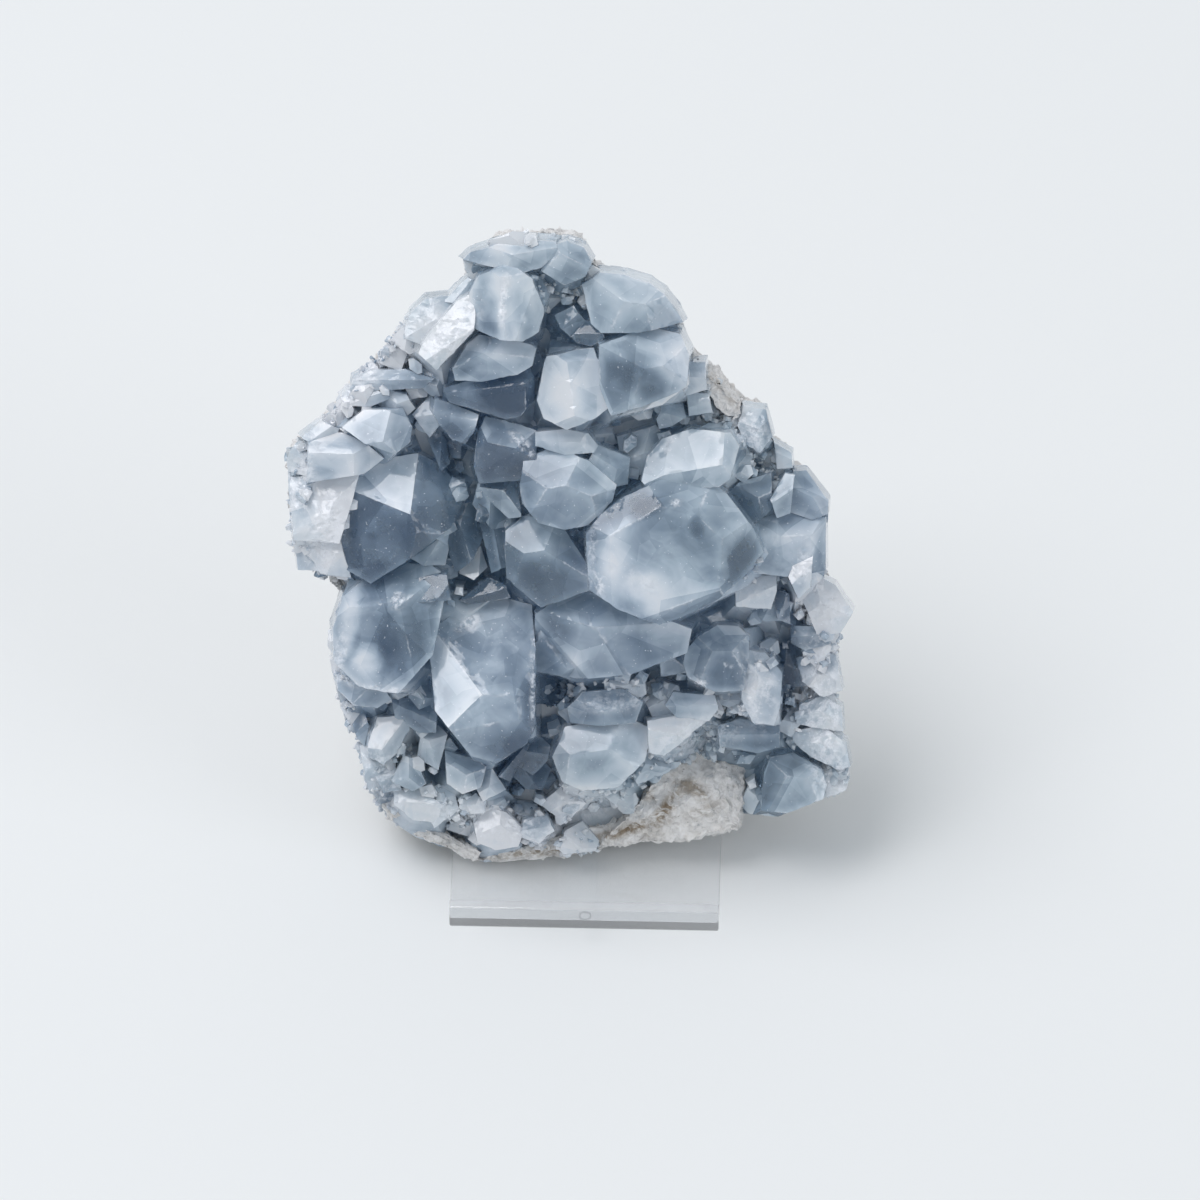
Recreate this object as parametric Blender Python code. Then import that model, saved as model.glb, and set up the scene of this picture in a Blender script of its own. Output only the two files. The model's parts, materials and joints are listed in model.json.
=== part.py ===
"""A celestite crystal cluster on its matrix, leaning on a small clear easel."""

import math
import random

import bmesh
import bpy
from mathutils import Vector

# Driving dimensions, in millimetres and degrees
MM = 0.001
VIEW_ELEVATION = 45.0  # the cluster is laid out as seen from here, looking down
PICTURE_RISE = 64.3  # height in the picture of the layout's zero above the easel's front foot
ROCK_LEAN = 25.0  # how far the specimen leans back from upright
RIM_DEPTH = 15.0  # the rim plane's distance towards the viewer at the layout's zero
CRUST_TOP = -4.5
CRUST_BOTTOM = -9.0
MATRIX_TOP = -8.3
MATRIX_BACK = -28.0
CRYSTAL_FOOT = -7.5
GAP = 0.3  # kept between pieces that touch
EASEL_WIDTH = 46.0
EASEL_CENTRE = 3.2
EASEL_THICKNESS = 2.2
EASEL_LEDGE = 43.3
EASEL_LIP = 6.0
EASEL_TURN = -1.5  # degrees about the upright
EASEL_BEHIND = -1.9  # how far its lip stands behind the layout's foot line
EASEL_BACK_LENGTH = 55.0
EASEL_BEND = 7.0  # the top bend's reach along each side
EASEL_LEG_FOOT = 88.6
LEDGE_TOP = EASEL_THICKNESS + GAP
SEED = 11

# The specimen's outline as seen, right and up from the layout's zero
OUTLINE = (
    (-17.3, 49.3), (-16.3, 50.7), (-11.0, 52.9), (-7.1, 53.7), (-2.0, 53.4), (0.5, 53.2),
    (3.2, 52.2), (4.6, 49.0), (6.8, 47.3), (9.7, 46.1), (14.5, 44.7), (17.9, 42.2),
    (20.1, 38.9), (20.7, 34.0), (29.9, 24.3), (34.3, 23.6), (35.4, 18.4), (38.6, 16.5),
    (38.9, 13.8), (41.0, 13.1), (44.9, 8.0), (44.2, -3.7), (45.4, -5.6), (49.1, -10.5),
    (46.8, -14.5), (47.1, -22.3), (47.1, -28.7), (48.8, -36.6), (47.4, -41.1), (42.8, -43.0),
    (36.4, -45.6), (30.6, -45.1), (29.6, -48.3), (18.2, -50.2), (5.1, -51.5), (-4.6, -53.0),
    (-11.1, -53.7), (-15.0, -53.4), (-26.0, -49.0), (-29.9, -46.2), (-33.8, -40.5), (-35.5, -32.0),
    (-37.7, -30.1), (-39.4, -22.3), (-40.6, -17.7), (-40.5, -13.8), (-39.1, -10.5), (-39.4, -6.6),
    (-41.7, -4.1), (-45.6, -3.4), (-46.2, 0.9), (-46.8, 8.5), (-47.3, 15.5), (-46.2, 17.7),
    (-41.7, 21.6), (-36.2, 28.7), (-29.4, 35.9), (-27.4, 39.8), (-24.1, 42.5), (-20.9, 42.2),
    (-18.4, 44.4), (-16.7, 46.4),
)  # fmt: skip

# Each crystal: its height above the rim, its outline as seen, and its end faces.
# An end face is the direction it falls to (0 right, 90 up), how steeply, and a point on it.
CRYSTALS = {
    "cap_left": (4, ((-17.2, 48.6), (-15.8, 50), (-11, 51.6), (-6, 52.2), (-1.5, 51.9), (-1, 50.2),
                     (-4, 47.5), (-8, 46.5), (-13, 47.8)),
                 ((95, 38, -8, 50.5), (200, 22, -10, 49), (290, 16, -6, 49))),
    "cap_right": (4, ((-2.5, 51.4), (0.5, 52), (3.2, 50.9), (4.6, 48.6), (3.5, 46), (0, 44.5), (-4, 47)),
                  ((60, 34, 1, 50), (250, 20, 0, 48), (170, 30, -2, 49))),
    "upper_ridge": (9, ((-16, 43), (-14.5, 46), (-10.5, 47.8), (-8, 47.3), (-5.5, 45.5), (-3.5, 40),
                        (-4.5, 36.5), (-7, 35), (-11, 35.3), (-15, 37), (-16, 39.5)),
                    ((185, 32, -10.6, 41), (10, 14, -10.4, 41), (350, 38, -7.6, 41), (82, 42, -10, 45.8))),
    "white_break": (8, ((-16, 43), (-15, 40), (-15.3, 37), (-21.6, 30.2), (-24.7, 33), (-24, 35), (-18, 42)),
                    ((128, 23, -19.5, 36.5), (300, 30, -17.5, 34.5))),
    "upper_left_slab": (2.5, ((-27, 37.5), (-26, 40), (-23.5, 42.4), (-18, 43), (-17, 41),
                              (-24, 34.5), (-27, 35.6)),
                        ((150, 22, -23, 39), (60, 20, -21, 40), (250, 14, -24, 38))),
    "edge_blade": (0.5, ((-20.8, 42), (-18.4, 44.2), (-16.6, 46.2), (-14.5, 45), (-18, 41.5)),
                   ((140, 30, -18, 43.5), (320, 30, -17.5, 43))),
    "under_ridge": (7.5, ((-19, 30.5), (-16.5, 34.5), (-14, 36.5), (-11, 35.8), (-7, 35.5), (-4.8, 34),
                          (-5.5, 31), (-8, 29.5), (-14, 28.3), (-18.5, 28.5)),
                    ((125, 36, -14, 33.5), (75, 22, -9, 33), (275, 18, -11, 32.5))),
    "dark_rimmed": (7, ((-20.3, 28), (-14, 29.2), (-6.3, 31.5), (-5, 28.5), (-5.3, 25), (-7.5, 22.5),
                        (-10, 22), (-19.5, 24.8), (-20.5, 26.5)),
                    ((100, 26, -12, 27.8), (272, 24, -12, 27), (335, 46, -7.2, 26))),
    "lower_rimmed": (6, ((-22, 25.5), (-20, 25), (-13.5, 22.5), (-15.3, 20), (-16, 17.5), (-19, 18.5),
                         (-20.8, 20.5), (-22.3, 23)),
                     ((90, 20, -18, 23), (245, 20, -18, 22), (300, 46, -16.5, 20))),
    "pale_pillar": (9, ((-3.4, 31.5), (-3, 32.5), (2, 33.6), (4.8, 33.8), (6.5, 30), (7.5, 24), (5, 22),
                        (0.3, 20.1), (-3.5, 22), (-4.6, 25)),
                    ((188, 26, 1, 27), (8, 10, 1.2, 27), (12, 42, 5.8, 27), (262, 44, 0, 22.8),
                     (84, 38, 1, 31.6))),
    "blue_block": (11, ((5.8, 34.5), (12, 36.5), (16, 36.8), (19.5, 36), (21, 32.5), (20.5, 27.5),
                        (18, 25.5), (13, 24), (8, 22), (6, 27)),
                   ((78, 30, 12, 32.5), (215, 18, 11, 29), (305, 26, 14, 28.5), (5, 30, 17, 32))),
    "pale_bar": (9.5, ((9.5, 22.6), (11.5, 24.8), (20.6, 31.4), (21, 27.8), (16.5, 24.4)),
                 ((135, 22, 15, 26.8), (315, 42, 16.4, 25.6))),
    "grey_violet": (7, ((3, 44.5), (6, 46.5), (10, 46.1), (14.5, 44.7), (18, 42.1), (19, 40), (20.1, 38.5),
                        (20, 36.5), (16, 36.5), (12, 36.3), (7.5, 35.2), (4.5, 38)),
                    ((82, 32, 11, 42.5), (190, 24, 9, 41), (265, 15, 11, 40), (340, 24, 14, 40))),
    "dark_small_a": (3, ((-1.7, 39.5), (1.5, 41.2), (3.6, 38.5), (1, 35.8), (-0.8, 37.5)),
                     ((135, 30, 1, 39), (310, 26, 1, 38.6))),
    "dark_small_b": (4, ((1, 36), (3.6, 38.7), (6, 37.7), (6.8, 35.8), (4.5, 34.3), (2, 34.9)),
                     ((110, 30, 4, 37), (255, 34, 4, 36.2))),
    "edge_slab_a": (1.5, ((-36, 29), (-33, 30.3), (-27, 30.5), (-22, 29), (-24, 27.3), (-30, 27), (-36, 27)),
                    ((95, 30, -30, 29), (265, 26, -30, 28.4))),
    "edge_slab_b": (1.5, ((-38, 25.8), (-37, 27), (-32, 27.2), (-29.3, 25.7), (-33, 24.2), (-37, 24.4)),
                    ((120, 22, -34, 26), (280, 26, -33, 25.5))),
    "pink_slab": (6, ((-38, 20.3), (-34, 23.5), (-27.5, 23.7), (-26, 20.5), (-26.3, 18), (-30, 15.2),
                      (-34, 18), (-37.5, 19.3)),
                  ((128, 22, -32, 19.5), (8, 34, -30, 20), (265, 40, -32, 17.6))),
    "left_slab": (4.5, ((-43.5, 18.5), (-38, 19.7), (-33.5, 18), (-30.8, 15.3), (-34, 12.8), (-43.6, 11.3)),
                  ((100, 34, -38, 16.8), (240, 16, -38, 15), (330, 26, -35, 15))),
    "left_knob": (1.5, ((-44.7, 19), (-41.2, 21.8), (-38.3, 20.5), (-38.8, 18.8), (-43, 18)),
                  ((130, 26, -41.5, 20), (300, 26, -41, 19.6))),
    "great_dark": (7, ((-35, 12.8), (-29, 15.2), (-25, 16), (-21.5, 14), (-17, 9), (-19.5, 3.5),
                       (-27.5, -2.5), (-33, -6), (-37.5, -3.5), (-38.7, 0), (-36.2, 8.5)),
                   ((130, 22, -26.2, 6), (203, 27, -26.2, 6), (20, 31, -26.2, 6), (318, 32, -24.5, 4),
                    (98, 46, -29, 13))),
    "broken_left": (4.5, ((-46.6, 12), (-34.9, 12.8), (-36, 8.5), (-38.3, 1), (-46, 1.5)),
                    ((160, 24, -41, 6), (100, 20, -40, 9), (245, 22, -40, 4), (350, 20, -38.5, 7))),
    "broken_low": (3.5, ((-46, 2), (-38.2, 2), (-36.4, -4.8), (-41.5, -4.1)),
                   ((205, 26, -40.5, -0.5), (285, 24, -39, -2), (110, 16, -41, 1))),
    "left_foot": (1, ((-46, 1.5), (-42.3, 0), (-41.8, -3.5), (-45.4, -3.5)),
                  ((200, 26, -44, -1), (60, 20, -43.6, -0.8))),
    "cavity_prism": (-1, ((-23.3, 18.5), (-21.4, 20.7), (-20.2, 18.5), (-19.6, 14.5), (-21, 13.3)),
                     ((150, 30, -21.4, 17), (10, 50, -20.9, 17))),
    "cavity_chip": (1, ((-20.3, 12.5), (-17, 11.6), (-16.6, 10.5), (-18.9, 9)),
                    ((120, 34, -18.5, 11), (290, 40, -18.4, 10.8))),
    "violet_steep": (7, ((-14.8, 19.5), (-13.4, 22.5), (-7, 20.8), (-4.8, 20), (-4.8, 15), (-8, 11.5),
                         (-14.4, 11), (-15.4, 14)),
                     ((72, 22, -10, 18.3), (262, 30, -10, 17), (185, 46, -13.4, 16), (25, 20, -8, 18))),
    "violet_foot": (4.5, ((-14, 12.5), (-8.2, 12.3), (-7.4, 5.5), (-9.5, 5.2), (-12.6, 8), (-14.5, 10.5)),
                    ((100, 34, -11, 10.6), (240, 30, -10, 9), (15, 30, -9.4, 9))),
    "round_pale": (11, ((-7.6, 10.5), (-6.9, 15), (-3, 16.6), (1, 16.1), (4, 14.9), (8.7, 10.8), (8, 8),
                        (4, 4), (0, 3.2), (-4.5, 4.4), (-7, 7.5)),
                   ((108, 28, 0, 12.5), (45, 22, 2.5, 11.5), (268, 24, 0, 9), (190, 30, -4, 10),
                    (325, 30, 4, 8))),
    "navy_wedge": (7.5, ((4, 15), (5.3, 17.7), (11, 15.4), (10.6, 11), (8.6, 10.6)),
                   ((70, 34, 8, 14.6), (215, 20, 7.5, 13.6), (330, 40, 9, 13))),
    "cloudy_back": (7, ((-5, 19.8), (0, 20.3), (4, 19.6), (5.6, 17.5), (4, 14.8), (0, 16), (-5, 15.6)),
                    ((95, 30, 0, 18.6), (255, 16, 0, 17.6), (20, 30, 3.4, 17.6))),
    "twin_facets": (9, ((13, 11.5), (14, 15.5), (16.5, 18.5), (21.5, 20.3), (28, 19.7), (29.5, 17.3),
                        (28, 12), (26, 10.5), (20, 10.3), (14, 10.4)),
                    ((138, 25, 19, 14.5), (118, 18, 22.5, 15), (20, 34, 27.4, 16), (262, 18, 22, 12.5))),
    "crevice_block": (3.5, ((15.5, 22), (16.5, 24.6), (20, 24.6), (20.7, 22.5), (18, 20.8), (16, 20.4)),
                      ((80, 28, 18, 23.4), (250, 30, 18, 22.4))),
    "great_blue": (16, ((3.6, 2.5), (6, 5.6), (10, 8.7), (15.5, 11.3), (20, 12.5), (24, 11.6), (27.3, 9),
                        (31.6, 3.5), (33.3, -1), (30, -5), (26, -8.5), (20, -11.5), (16, -12.9),
                        (9, -10.2), (4.2, -7), (3.9, -2)),
                   ((76, 34, 18, 8), (192, 30, 8, 0), (258, 6, 17, 0), (285, 32, 19, -8), (352, 44, 26.6, -1),
                    (42, 36, 23.5, 6), (128, 26, 11.5, 5.5))),
    "pale_face": (9, ((-10, 3), (-7, 5.4), (-2, 5), (0, 3.2), (3.4, -2), (4.2, -7), (0, -8.6), (-4, -10),
                      (-8, -6.7), (-9.8, -5), (-10.2, 0)),
                  ((112, 28, -4, 1.5), (35, 24, -1.5, 0.5), (262, 24, -4, -2), (195, 34, -7.4, -1.5))),
    "right_dark": (4, ((27.2, 9.2), (29.5, 11.4), (35, 12.8), (35.2, 6.8), (32, 4), (29.5, 5.6)),
                   ((70, 30, 32, 10), (230, 24, 31.5, 8.6), (340, 30, 33.6, 8.6))),
    "right_knob": (2.5, ((38, 9), (38.8, 13.2), (41, 13.2), (44.7, 8.2), (44.6, 6), (42, 5), (38.3, 6.3)),
                   ((60, 34, 41, 10), (250, 24, 41, 8.6), (0, 30, 42.6, 8.6))),
    "right_pink": (4, ((34.8, 8.5), (37.4, 12.9), (39, 12.6), (38.2, 6), (36, 5.3)),
                   ((130, 26, 36.8, 9.6), (300, 34, 37, 8.8))),
    "right_block": (4.5, ((32.5, 5), (38, 6.6), (44.3, 5.4), (44.2, -3.6), (41, -4.2), (38, -4.7),
                          (32, -4), (31.8, 2)),
                    ((95, 22, 38, 3.4), (268, 10, 38, 0), (350, 38, 42, 0))),
    "white_bar": (6, ((39.9, 0.4), (42.2, 0.1), (41.7, -6.6), (39.6, -8.4), (37.9, -4.6)),
                  ((128, 20, 40.3, -3), (320, 30, 41, -4))),
    "pale_block": (4.5, ((30, -4.6), (36, -4.3), (36, -7), (35, -10.2), (29, -9.7), (29, -6.5)),
                   ((120, 22, 33, -6.8), (290, 30, 33, -7.6))),
    "violet_chip": (3, ((35.4, -6.8), (38.2, -7.4), (38.3, -12.7), (36, -11.7)),
                    ((150, 30, 36.8, -9), (350, 30, 37.4, -9))),
    "far_right": (1.5, ((40, -7.5), (44, -5), (46, -6.1), (49, -10.6), (46.9, -14.2), (43, -14.7), (41, -10)),
                  ((60, 24, 44.6, -8), (255, 26, 44.6, -11), (160, 30, 42.4, -9))),
    "right_grey": (1.5, ((38.5, -13), (44, -13), (45.4, -16), (41, -17.3), (38.5, -16)),
                   ((100, 24, 41.6, -14.2), (270, 30, 41.6, -15))),
    "round_dome": (11, ((-37.5, -8.5), (-33.5, -5.4), (-28, -2.9), (-23, -3.1), (-20, -5), (-18.5, -8),
                        (-18.5, -13.5), (-22.5, -18), (-23.8, -24.3), (-30, -24.5), (-35, -23.5),
                        (-39, -19.5), (-39.3, -14)),
                   ((118, 40, -28, -9.5), (150, 46, -33.5, -10.5), (203, 22, -28, -9.5), (352, 13, -28, -9.5),
                    (262, 32, -30, -20.5), (75, 44, -25, -6.5), (235, 40, -35, -18))),
    "dome_facet": (7.9, ((-24.8, -4.8), (-20, -4), (-19.4, -8.6), (-24.8, -9)),
                   ((130, 22, -22, -6.5), (330, 44, -20.6, -8))),
    "great_block": (14, ((-22.5, -14.5), (-19, -12), (-16, -10.4), (-11, -9.2), (-6, -10.4), (-5.2, -17),
                         (-5.1, -30), (-6.5, -33), (-11.5, -36.4), (-16, -35.2), (-21.6, -32.5),
                         (-22, -27.5), (-24, -25), (-23.5, -20)),
                    ((140, 24, -14.1, -24.5), (95, 27, -14.1, -24.5), (170, 4, -14.1, -24.5), (272, 24, -14, -30),
                     (12, 34, -8, -24))),
    "hex_plate": (9.5, ((-0.5, -8), (-5, -11), (-5, -20.5), (2, -22.3), (11, -21.3), (20.7, -17.6),
                        (21.6, -13.4), (17, -11.6), (8, -8.6), (3, -7)),
                  ((226, 62, 2.4, -17.8), (238, 28, 5.5, -15), (278, 13, 11, -15.5), (92, 26, 10, -11.5))),
    "knob": (7.5, ((20.6, -17.5), (22.5, -14.9), (26, -13.1), (29.5, -13.3), (31.3, -15), (31.2, -19),
                   (30.2, -24.1), (25.5, -24.3), (21, -22), (20.2, -19.5)),
             ((85, 34, 26, -16.4), (180, 30, 24, -18.4), (285, 16, 26.4, -19), (5, 34, 29, -18))),
    "frosted": (7.5, ((31.3, -17.2), (34, -17.7), (37, -21), (36.6, -27), (35.5, -30), (32, -29.6),
                      (30, -25.5), (30.6, -20)),
                ((60, 34, 34, -20.4), (280, 16, 33.4, -24), (200, 24, 32, -23))),
    "grey_pane": (5, ((18.5, -24.3), (25.5, -24.8), (26.2, -27), (24.5, -29.2), (19, -28.6), (17, -26.5)),
                  ((95, 24, 22, -26), (270, 20, 22, -27))),
    "grey_slab": (4.5, ((26, -30), (30, -28.9), (36.6, -30), (36.6, -33.6), (33, -34.7), (26.4, -33.6)),
                  ((92, 26, 31, -31), (268, 20, 31, -32))),
    "pale_drum": (8, ((-2.1, -35.5), (0, -30.4), (5, -29.4), (11, -29), (14.6, -31), (13.6, -36),
                      (9, -40.6), (3, -41.2), (-0.5, -39.6)),
                  ((104, 26, 5, -33), (30, 30, 9, -33), (196, 40, 0.4, -35), (268, 20, 6, -36))),
    "drum_back": (6, ((0.4, -27), (3, -24.3), (10, -23.8), (13.2, -26), (12, -29.6), (6, -30), (1, -29.6)),
                  ((90, 28, 6, -26), (220, 24, 4, -27), (320, 24, 9, -27.4))),
    "arrow_slab": (7, ((14, -29.2), (19, -28.3), (24.2, -29.4), (20, -32.7), (17, -35.2), (14.3, -34.7)),
                   ((92, 26, 18, -30.4), (250, 18, 17, -32), (330, 36, 19.6, -31.6))),
    "column_a": (1, ((39.4, -18.5), (43, -17.4), (46.2, -18), (47.2, -24), (44, -25.2), (40.4, -22.5)),
                 ((80, 24, 43, -20), (190, 26, 42, -21), (280, 30, 44, -22))),
    "column_b": (1, ((40, -26.5), (44, -24.8), (47.2, -27), (47.4, -31), (43, -30.4), (39.4, -29.6)),
                 ((110, 26, 43, -27), (270, 26, 43, -28.6), (10, 30, 45.4, -28))),
    "column_c": (2, ((38.9, -31), (44, -30), (48, -33), (48.6, -37), (45, -38.2), (42, -35.5), (38.5, -34)),
                 ((100, 22, 43.4, -32), (240, 24, 43, -34), (0, 30, 46.6, -34.4))),
    "corner_pale": (1, ((43.8, -38), (48.5, -37), (48, -41), (45.4, -42.1), (42, -43)),
                    ((60, 20, 45.6, -39.4), (230, 26, 45, -40.6))),
    "corner_dark": (4.5, ((35, -35.4), (39, -34.8), (43.6, -37.4), (44.6, -40), (44, -42.6), (38, -45),
                          (33.5, -44.6), (34, -38)),
                    ((80, 28, 39, -37.4), (190, 26, 36.6, -40), (275, 20, 39, -40.4), (350, 30, 42, -40))),
    "dome_skirt": (5, ((-39, -21), (-35, -22.4), (-31, -23.4), (-29.6, -25.5), (-32, -27), (-36, -26.5),
                       (-38.7, -24)),
                   ((160, 24, -35, -24), (290, 24, -34, -25))),
    "shade_block": (3.5, ((-29.6, -25.4), (-24.5, -25.2), (-21.8, -27.8), (-22, -31.2), (-25, -31.2),
                          (-29, -28.6)),
                    ((70, 30, -25.6, -27), (240, 26, -26, -28.4))),
    "lilac_face": (4.5, ((-33.6, -33), (-32, -28.7), (-28, -28.3), (-26.4, -30.5), (-29, -35), (-31, -36.7),
                         (-33.6, -35.5)),
                   ((132, 22, -30.6, -31.6), (330, 30, -29, -32), (240, 36, -32, -34.4))),
    "edge_low_left": (0.5, ((-37.6, -29.6), (-34.5, -27), (-33.4, -30), (-34.6, -35), (-35.6, -32)),
                      ((150, 26, -35.4, -30), (300, 30, -34.8, -31))),
    "small_pyramid": (5, ((-29.7, -39.5), (-27.5, -35.1), (-25.5, -35.8), (-23.8, -40), (-26, -41.3)),
                      ((150, 30, -27, -38), (20, 40, -26.4, -38), (270, 34, -27, -39.4))),
    "grey_low_left": (3, ((-33.2, -37), (-29, -36.8), (-28, -41), (-31, -41.6)),
                      ((120, 24, -30.6, -38.4), (290, 24, -30.4, -39.4))),
    "low_blue": (5.5, ((-20.5, -34.3), (-15, -35.8), (-13.4, -37), (-14.4, -40.6), (-17.5, -41.7), (-20.2, -40)),
                 ((80, 26, -17, -37), (220, 30, -18, -38.6), (310, 30, -16, -39))),
    "low_pyramid": (4, ((-13, -36.4), (-15.6, -40), (-14, -43), (-10.2, -41)),
                    ((150, 34, -13.2, -39.6), (10, 40, -12.6, -39.6), (270, 34, -13, -41))),
    "low_ball": (4, ((-17, -43), (-15.3, -41.6), (-13.4, -43), (-13.8, -45), (-16.2, -45.2)),
                 ((120, 34, -15.4, -43), (270, 34, -15.2, -43.8), (10, 34, -14.8, -43.6))),
    "foot_crystal": (3.5, ((-15.6, -46.8), (-13, -44), (-10, -44.8), (-7, -48), (-8, -50.7), (-12, -51.4),
                           (-15, -50)),
                     ((135, 22, -12.6, -46.4), (30, 28, -9.8, -47), (265, 18, -11.6, -48.6))),
    "foot_crystal_b": (3, ((-7.2, -46), (-3, -45.3), (-1.8, -48), (-4.5, -50.2), (-7.6, -49.2)),
                       ((110, 24, -5, -47), (270, 24, -5, -48))),
    "lilac_slab": (3.5, ((-29.2, -41), (-25, -40.4), (-20.8, -43.5), (-22, -46.6), (-26, -46.2), (-29.2, -43.5)),
                   ((105, 20, -25, -42.6), (250, 20, -25, -44))),
    "slit_blade": (2.5, ((-11.5, -38.6), (-7, -32.3), (-6, -33.3), (-9.4, -39.6)),
                   ((140, 40, -9, -35.8), (320, 40, -8.8, -36))),
    "slit_facet": (0, ((-8, -33), (-5, -31.3), (-2.4, -33.5), (-3, -36), (-5.5, -38.6), (-8, -37)),
                   ((95, 28, -5, -34), (250, 30, -5.4, -35))),
    "stripe_prism": (2.5, ((-27.2, -1), (-24.5, 1.2), (-20.2, 3.6), (-19.8, 0), (-20.4, -2.7), (-24, -2.7)),
                     ((128, 20, -23.6, -0.2), (340, 34, -22, 0))),
    "triangle_face": (0.5, ((-14.8, 2), (-13.2, -3), (-15.5, -5.1), (-18, -4), (-17.7, -2.4)),
                      ((140, 22, -15.6, -2.4), (10, 46, -14.3, -2))),
    "dark_prism_a": (2, ((-20, 7), (-15.5, 8), (-13.2, 4), (-15.4, -1.6), (-18.5, -4), (-20, 0)),
                     ((195, 44, -17.6, 2), (20, 40, -16.6, 2), (95, 30, -17, 5))),
    "dark_prism_b": (2, ((-14.6, 5), (-11.5, 7), (-9.7, 3.5), (-10.2, -3), (-12.5, -4)),
                     ((190, 40, -12.2, 1.6), (10, 36, -11.2, 1.6))),
    "dark_wedge": (3.5, ((-18, -8.6), (-13, -4.8), (-10, -6), (-9.3, -8.2), (-16.5, -9.4)),
                   ((110, 34, -13, -6.8), (280, 30, -13, -7.8))),
    "ridge_grey": (2.5, ((30.3, 24.2), (34.1, 23.6), (35.2, 19), (33, 16.3), (30.5, 18), (29.3, 21)),
                   ((95, 30, 32, 21.6), (220, 26, 31.4, 20), (340, 30, 33.6, 20))),
    "ridge_chip": (0.5, ((35.5, 18.2), (38.5, 16.4), (38.6, 13.9), (36, 13.6)),
                   ((70, 30, 37, 16.4), (240, 26, 36.8, 15.6))),
    "strip_blue_a": (3.5, ((20.3, 31.7), (23.8, 31.6), (24, 27), (20.5, 26)),
                     ((80, 26, 22, 29.8), (270, 26, 22, 28.6))),
    "strip_blue_b": (3.5, ((20.6, 26.6), (24.3, 26.4), (25, 23.2), (21, 22.6)),
                     ((110, 26, 22.6, 25.2), (290, 26, 22.8, 24.2))),
}  # fmt: skip

# Places left open and dark between the crystals: centre right, centre up, half width, half height
HOLLOWS = (
    (-20.6, 16.0, 5.5, 7.5), (-15.0, 0.5, 5.0, 8.5), (-2.4, -22.3, 3.2, 9.5), (-7.1, -38.0, 4.2, 7.5),
    (-3.9, 31.0, 1.8, 7.5), (13.0, 20.4, 6.5, 2.6), (38.0, -20.5, 2.2, 8.0), (15.5, -21.0, 3.5, 1.6),
    (25.5, -11.8, 5.0, 1.8), (36.0, -13.5, 2.4, 3.5), (-27.5, 16.2, 2.0, 1.6), (0.5, 38.5, 3.0, 3.0),
    (-26.0, -27.5, 3.5, 2.0), (2.0, 2.0, 1.6, 3.4), (-14.0, 47.0, 1.6, 1.2),
)  # fmt: skip

# Bare matrix that reaches the rim: height above the rim, outline as seen, faces as on a crystal
BARE_MATRIX = {
    "bare_right": (0.8, ((12.8, -42.5), (17, -37.4), (23, -34), (30.6, -37.4), (30.4, -45), (29.6, -48.2),
                         (18.2, -50.1), (5.5, -51.3)),
                   ((265, 30, 18, -45), (100, 14, 21, -41), (20, 24, 26, -43), (185, 20, 15, -43))),
    "bare_foot": (-0.6, ((7, -51.2), (-4.6, -52.9), (-11.1, -53.6), (-14.8, -53.3), (-14, -51.4), (2, -47.8),
                         (9, -45.6)),
                  ((268, 28, -2, -50.4), (95, 10, -2, -50))),
    "bare_left": (-1.2, ((-30.2, -45.9), (-26, -48.9), (-15, -53.3), (-14.2, -51.6), (-24, -46.6),
                         (-28.6, -44.4)),
                  ((240, 30, -24, -48), (70, 12, -23, -47.4))),
    "bare_corner": (-1.2, ((-33.6, -40.4), (-29.6, -46.2), (-27.6, -45), (-32, -38.8)),
                    ((215, 30, -31, -43), (40, 14, -30.6, -42.6))),
    "bare_ridge": (1.0, ((20.8, 33.8), (29.8, 24.4), (29.2, 21.8), (27, 22.4), (23.8, 27), (21, 31)),
                   ((48, 30, 27, 27.6), (230, 14, 25, 27))),
}  # fmt: skip


def picture_axes():
    """The picture's right, up and towards-the-viewer directions in the object's frame."""
    tilt = math.radians(VIEW_ELEVATION)
    right = Vector((1, 0, 0))
    up = Vector((0, math.sin(tilt), math.cos(tilt)))
    return right, up, right.cross(up)


RIGHT, UP, NEAR = picture_axes()
LEAN = math.radians(ROCK_LEAN)
SLAB_UP = Vector((0, math.sin(LEAN), math.cos(LEAN)))
SLAB_OUT = Vector((0, -math.cos(LEAN), math.sin(LEAN)))
RIM_SLOPE = SLAB_UP.dot(NEAR) / SLAB_UP.dot(UP)


def spot(u, v, w):
    """A point given right, up and towards the viewer in the picture, in millimetres."""
    return (RIGHT * u + UP * (v + PICTURE_RISE) + NEAR * w) * MM


def rim(v):
    """How near the viewer the rim plane is at a height in the picture."""
    return RIM_DEPTH + RIM_SLOPE * v


def slab(a, b, out):
    """A point given across, along and out of the specimen's rim plane, in millimetres."""
    return spot(0, 0, RIM_DEPTH) + (RIGHT * a + SLAB_UP * b + SLAB_OUT * out) * MM


def direction(turn, fall):
    """The outward normal of a face that falls away from the viewer towards a direction."""
    turn, fall = math.radians(turn), math.radians(fall)
    across = RIGHT * math.cos(turn) + UP * math.sin(turn)
    return across * math.sin(fall) + NEAR * math.cos(fall)


def centre_of(outline):
    """The middle of an outline's corners."""
    return sum(p[0] for p in outline) / len(outline), sum(p[1] for p in outline) / len(outline)


def turned_right_way(outline):
    """The outline with its corners running anticlockwise."""
    area = sum(a[0] * b[1] - b[0] * a[1] for a, b in zip(outline, outline[1:] + outline[:1]))
    return outline if area > 0 else outline[::-1]


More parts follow.
